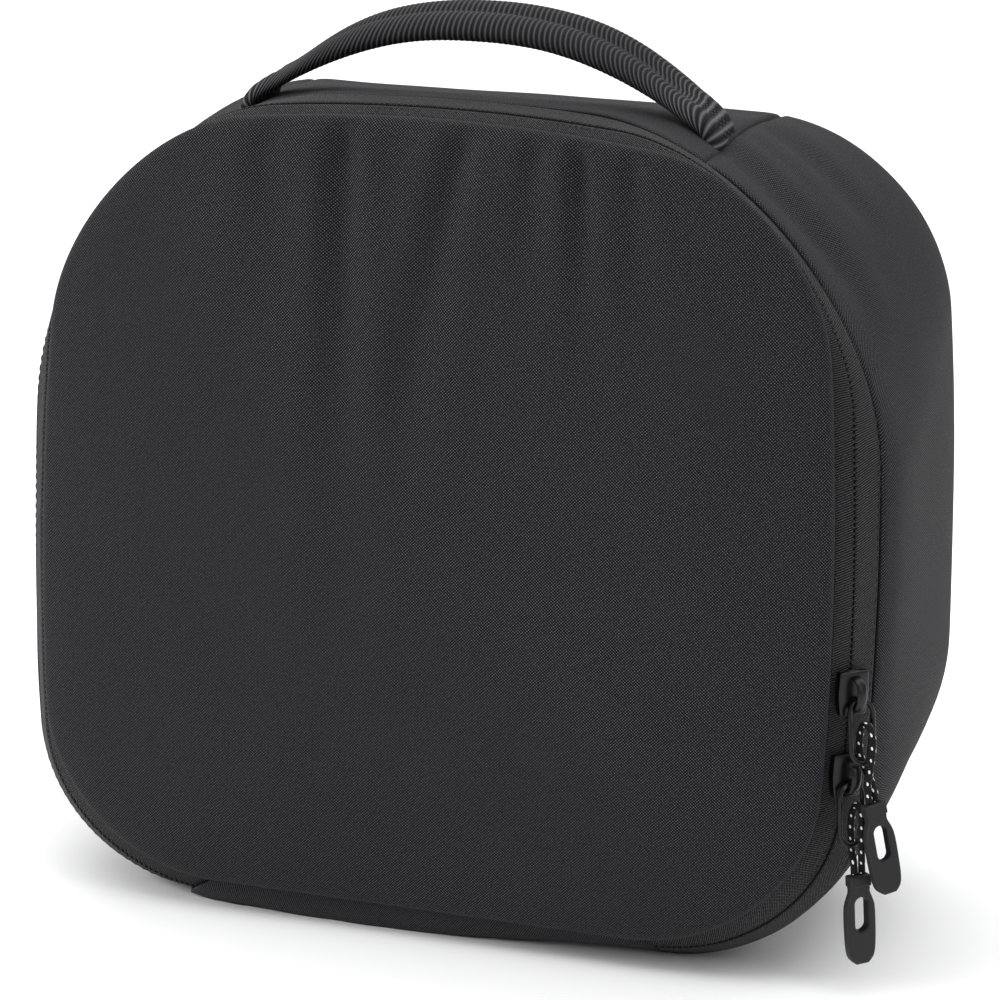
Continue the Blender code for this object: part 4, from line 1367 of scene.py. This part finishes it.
# %% Cloth
def cloth_finish(name, pitch, glints):
    """Plain weave in black, with painted glints on its highest thread tops and painted shade beside
    its seams.
    """
    finish, tree, shader, places = new_finish(name, 0.7, sheen=0.02, ior=1.2)
    weave = node_of(tree, "ShaderNodeGroup", node_tree=WEAVE)
    tree.links.new(places.outputs["UV"], weave.inputs["Place"])
    weave.inputs["Pitch"].default_value = pitch
    weave.inputs["Glints"].default_value = glints
    color = shade_of(tree, places, (0.0032, 0.0032, 0.0038), (0.0075, 0.0069, 0.0084), 0.5)
    # Painted glints: the highest thread tops are mixed towards a light grey.
    color = mix_color(tree, weave.outputs["Glint"], color, (0.12, 0.118, 0.128))
    # Painted shade beside the panel's seams.
    color = seam_shadow(tree, places, color)
    tree.links.new(color, shader.inputs["Base Color"])
    link_roughness(tree, shader, weave.outputs["Height"], 0.84, 0.6)
    add_bump(tree, shader, weave.outputs["Height"], 0.00018)
    return finish


cloth = cloth_finish("black_cloth_weave", 0.00092, 1.0)
# The hinge's copy has a finer weave and nearly twice the painted glints, which lighten the band.
hinge_cloth = cloth_finish("hinge_cloth_weave", 0.0008, 1.8)
print("made", cloth.name, hinge_cloth.name)


# %% Zip tape, ribs and thread
def tape_finish(name, reach):
    """A fine, tight weave with a little more shine, painted glints on its thread tops, and painted
    shade where the tape is turned in.
    """
    finish, tree, shader, places = new_finish(name, 0.7, ior=1.2)
    weave = node_of(tree, "ShaderNodeGroup", node_tree=WEAVE)
    tree.links.new(places.outputs["UV"], weave.inputs["Place"])
    weave.inputs["Pitch"].default_value = 0.00072
    weave.inputs["Glints"].default_value = 1.0
    color = shade_of(tree, places, (0.004, 0.004, 0.0044), (0.008, 0.008, 0.0088), 0.5)
    # Painted glints on the tape's highest thread tops.
    color = mix_color(tree, weave.outputs["Glint"], color, (0.18, 0.18, 0.186))
    # Painted shade where the tape is turned in.
    tree.links.new(seam_shadow(tree, places, color, reach), shader.inputs["Base Color"])
    link_roughness(tree, shader, weave.outputs["Height"], 0.75, 0.5)
    add_bump(tree, shader, weave.outputs["Height"], 0.00014)
    return finish


def thread_finish(name, color, glow):
    """Fine fibres between a dark colour and a lighter one."""
    finish, tree, shader, places = new_finish(name, 0.6, ior=1.2)
    grain = node_of(tree, "ShaderNodeTexNoise")
    grain.inputs["Scale"].default_value = 2200
    tree.links.new(places.outputs["Object"], grain.inputs["Vector"])
    tree.links.new(mix_color(tree, grain.outputs["Fac"], color, glow), shader.inputs["Base Color"])
    link_roughness(tree, shader, grain.outputs["Fac"], 0.4, 0.65)
    add_bump(tree, shader, grain.outputs["Fac"], 0.00005, 0.6)
    return finish


# The painted seam shade reaches further on the front tape, where the lid's rolled edge hides its
# first millimetre.
front_tape = tape_finish("front_zip_tape", 0.0023)
rear_tape = tape_finish("rear_zip_tape", 0.0010)
rib_cloth = thread_finish("coil_rib_cloth", (0.008, 0.008, 0.009), (0.04, 0.04, 0.043))
thread = thread_finish("black_thread", (0.012, 0.012, 0.013), (0.045, 0.045, 0.05))
print("made", front_tape.name, rear_tape.name, rib_cloth.name, thread.name)


# %% Webbing
def webbing_finish():
    """The weave of the webbing, with painted highlights on the crests of its ribs."""
    finish, tree, shader, places = new_finish("webbing_ribs", 0.6, ior=1.15)
    weave = node_of(tree, "ShaderNodeGroup", node_tree=WEAVE)
    tree.links.new(places.outputs["UV"], weave.inputs["Place"])
    weave.inputs["Pitch"].default_value = 0.00082
    weave.inputs["Glints"].default_value = 0.25
    crest_highlight = node_of(tree, "ShaderNodeAttribute", attribute_name="crest_highlight")
    color = shade_of(tree, places, (0.003, 0.0029, 0.0034), (0.006, 0.0058, 0.0067), 0.5)
    # Painted highlights on the rib crests.
    color = mix_color(tree, crest_highlight.outputs["Fac"], color, (0.14, 0.136, 0.146))
    # Painted glints on the webbing's thread tops.
    color = mix_color(tree, weave.outputs["Glint"], color, (0.13, 0.125, 0.14))
    tree.links.new(color, shader.inputs["Base Color"])
    link_roughness(tree, shader, weave.outputs["Height"], 0.78, 0.5)
    add_bump(tree, shader, weave.outputs["Height"], 0.00012, 0.8)
    return finish


webbing = webbing_finish()
print("made", webbing.name)


# %% Painted metal and moulded rubber
def metal_finish():
    """Black lacquer, a little worn where the metal's edges stand out."""
    finish, tree, shader, places = new_finish("black_lacquer", 0.3, specular=0.3, coat=0.1)
    grain = node_of(tree, "ShaderNodeTexNoise")
    grain.inputs["Scale"].default_value = 900
    grain.inputs["Detail"].default_value = 4
    tree.links.new(places.outputs["Object"], grain.inputs["Vector"])
    form = node_of(tree, "ShaderNodeNewGeometry")
    worn = node_of(tree, "ShaderNodeMapRange")
    worn.inputs["From Min"].default_value = 0.56
    worn.inputs["From Max"].default_value = 0.64
    tree.links.new(form.outputs["Pointiness"], worn.inputs["Value"])
    patchy = math_node(tree, "MULTIPLY", worn.outputs[0], grain.outputs["Fac"])
    color = shade_of(tree, places, (0.0015, 0.0015, 0.0018), (0.004, 0.004, 0.0044), 0.5)
    tree.links.new(mix_color(tree, patchy, color, (0.10, 0.10, 0.105)), shader.inputs["Base Color"])
    link_roughness(tree, shader, grain.outputs["Fac"], 0.24, 0.42)
    add_bump(tree, shader, grain.outputs["Fac"], 0.00003, 0.5)
    return finish


def rubber_finish():
    """Moulded rubber with a satin grain."""
    finish, tree, shader, places = new_finish("satin_rubber", 0.5, specular=0.3)
    grain = node_of(tree, "ShaderNodeTexNoise")
    grain.inputs["Scale"].default_value = 3200
    grain.inputs["Detail"].default_value = 3
    tree.links.new(places.outputs["Object"], grain.inputs["Vector"])
    color = shade_of(tree, places, (0.0115, 0.0115, 0.0128), (0.021, 0.021, 0.0228), 0.6)
    tree.links.new(color, shader.inputs["Base Color"])
    link_roughness(tree, shader, grain.outputs["Fac"], 0.38, 0.62)
    add_bump(tree, shader, grain.outputs["Fac"], 0.00005, 0.7)
    return finish


metal = metal_finish()
rubber = rubber_finish()
print("made", metal.name, rubber.name)


# %% The flecked cord
STRAND_SLANT = 0.9
STRAND_PITCH = 0.0011
FLECK_SLANT = 0.5
FLECK_PITCH = 0.0036
FLECK_LENGTH = 0.0015
FLECK_COLUMN = 0.00165
FLECK_WIDTH = 0.001
FLECK_SIZE = 0.33


def cord_finish():
    """A braid of slanting strands, where one light yarn comes up in pairs."""
    finish, tree, shader, places = new_finish("flecked_cord", 0.6, sheen=0.02, ior=1.2)
    parts = node_of(tree, "ShaderNodeSeparateXYZ")
    tree.links.new(places.outputs["UV"], parts.inputs[0])
    run, turn = parts.outputs[0], parts.outputs[1]
    waves = []
    for sign in (1, -1):
        slant = math_node(tree, "MULTIPLY_ADD", turn, STRAND_SLANT * sign, run)
        angle = math_node(tree, "MULTIPLY", slant, math.pi * 2 / STRAND_PITCH)
        waves.append(math_node(tree, "SINE", angle))
    strands = math_node(tree, "MAXIMUM", waves[0], waves[1])
    height = math_node(tree, "MULTIPLY_ADD", strands, 0.5, 0.5)
    wound = math_node(tree, "MULTIPLY_ADD", turn, FLECK_SLANT, run)
    squares = []
    for value, pitch, size in ((wound, FLECK_PITCH, FLECK_LENGTH), (turn, FLECK_COLUMN, FLECK_WIDTH)):
        step = math_node(tree, "FRACT", math_node(tree, "DIVIDE", value, pitch))
        off = math_node(tree, "MULTIPLY", math_node(tree, "SUBTRACT", step, 0.5), pitch / size)
        squares.append(math_node(tree, "MULTIPLY", off, off))
    distance = math_node(tree, "SQRT", math_node(tree, "ADD", *squares))
    light = math_node(tree, "LESS_THAN", distance, FLECK_SIZE)
    color = shade_of(tree, places, (0.006, 0.006, 0.0065), (0.012, 0.012, 0.013), 0.4)
    tree.links.new(mix_color(tree, light, color, (0.75, 0.75, 0.74)), shader.inputs["Base Color"])
    link_roughness(tree, shader, height, 0.75, 0.5)
    add_bump(tree, shader, height, 0.00018)
    return finish


flecked = cord_finish()
print("made", flecked.name)

# %% Every piece gets its finish
FINISHES = {
    "lid": cloth, "wall": cloth, "top": cloth, "back": cloth, "hinge": hinge_cloth,
    "tape_front": front_tape, "tape_rear": rear_tape, "coil_ribs": rib_cloth, "stitches": thread,
    "webbing_handle": webbing, "zip_slider_upper": metal, "zip_slider_lower": metal,
    "wire_ring_upper": metal, "wire_ring_lower": metal, "loop_cord_upper": flecked,
    "loop_cord_lower": flecked, "moulded_tag_upper": rubber, "moulded_tag_lower": rubber,
}
for piece_name, finish in FINISHES.items():
    made = bpy.data.objects[piece_name].data.materials
    made.clear()
    made.append(finish)
print("finished pieces:", len(FINISHES))

# %% [markdown]
# ## The studio
# A packshot of a black object stands on white. The floor is one large pale plane, and the
# light is soft: a sheet above, a broad light at the left and a weak narrow one at the
# right. Two large sheets, behind and high above, keep the far floor white, and the plain
# Standard view shows that white as it is.

# %% Floor and light
def make_floor():
    """One large pale plane, which belongs to the studio and not to the part."""
    block = bmesh.new()
    bmesh.ops.create_grid(block, x_segments=1, y_segments=1, size=15)
    data = bpy.data.meshes.new("studio_floor")
    block.to_mesh(data)
    block.free()
    floor = bpy.data.objects.new("studio_floor", data)
    bpy.context.scene.collection.objects.link(floor)
    finish, tree, shader, places = new_finish("pale_floor", 0.8, specular=0.1)
    color = shade_of(tree, places, (0.96, 0.96, 0.965), (0.94, 0.94, 0.945), 0.4)
    tree.links.new(color, shader.inputs["Base Color"])
    data.materials.append(finish)
    return floor


def make_light(name, place, aim, size, power):
    """A soft light of a given width and height that faces the point aim."""
    data = bpy.data.lights.new(name, "AREA")
    data.shape = "RECTANGLE"
    data.size, data.size_y = size
    data.energy = power
    light = bpy.data.objects.new(name, data)
    light.location = place
    turn = (Vector(aim) - Vector(place)).to_track_quat("-Z", "Y")
    light.rotation_euler = turn.to_euler()
    bpy.context.scene.collection.objects.link(light)
    return light


studio_floor = make_floor()
make_light("sheet_above", (0, -0.2, 1.9), (0, 0, 0.1), (2.4, 2.0), 27)
make_light("broad_left", (-1.9, -0.9, 1.0), (0, 0, 0.12), (0.9, 1.2), 30)
make_light("narrow_right", (1.6, -0.9, 0.9), (0.05, 0, 0.12), (0.7, 1.2), 4)
make_light("sheet_behind", (0, 3.4, 2.6), (0, 3.4, 0), (7.0, 4.0), 110)
make_light("sheet_around", (0, 0, 4.2), (0, 0, 0), (16.0, 16.0), 270)
world = bpy.data.worlds.new("pale_room")
world.use_nodes = True
world.node_tree.nodes["Background"].inputs["Color"].default_value = (1, 1, 1, 1)
world.node_tree.nodes["Background"].inputs["Strength"].default_value = 0.38
bpy.context.scene.world = world
bpy.context.scene.view_settings.view_transform = "Standard"
print("on", studio_floor.name, "with", len(bpy.data.lights), "lights")
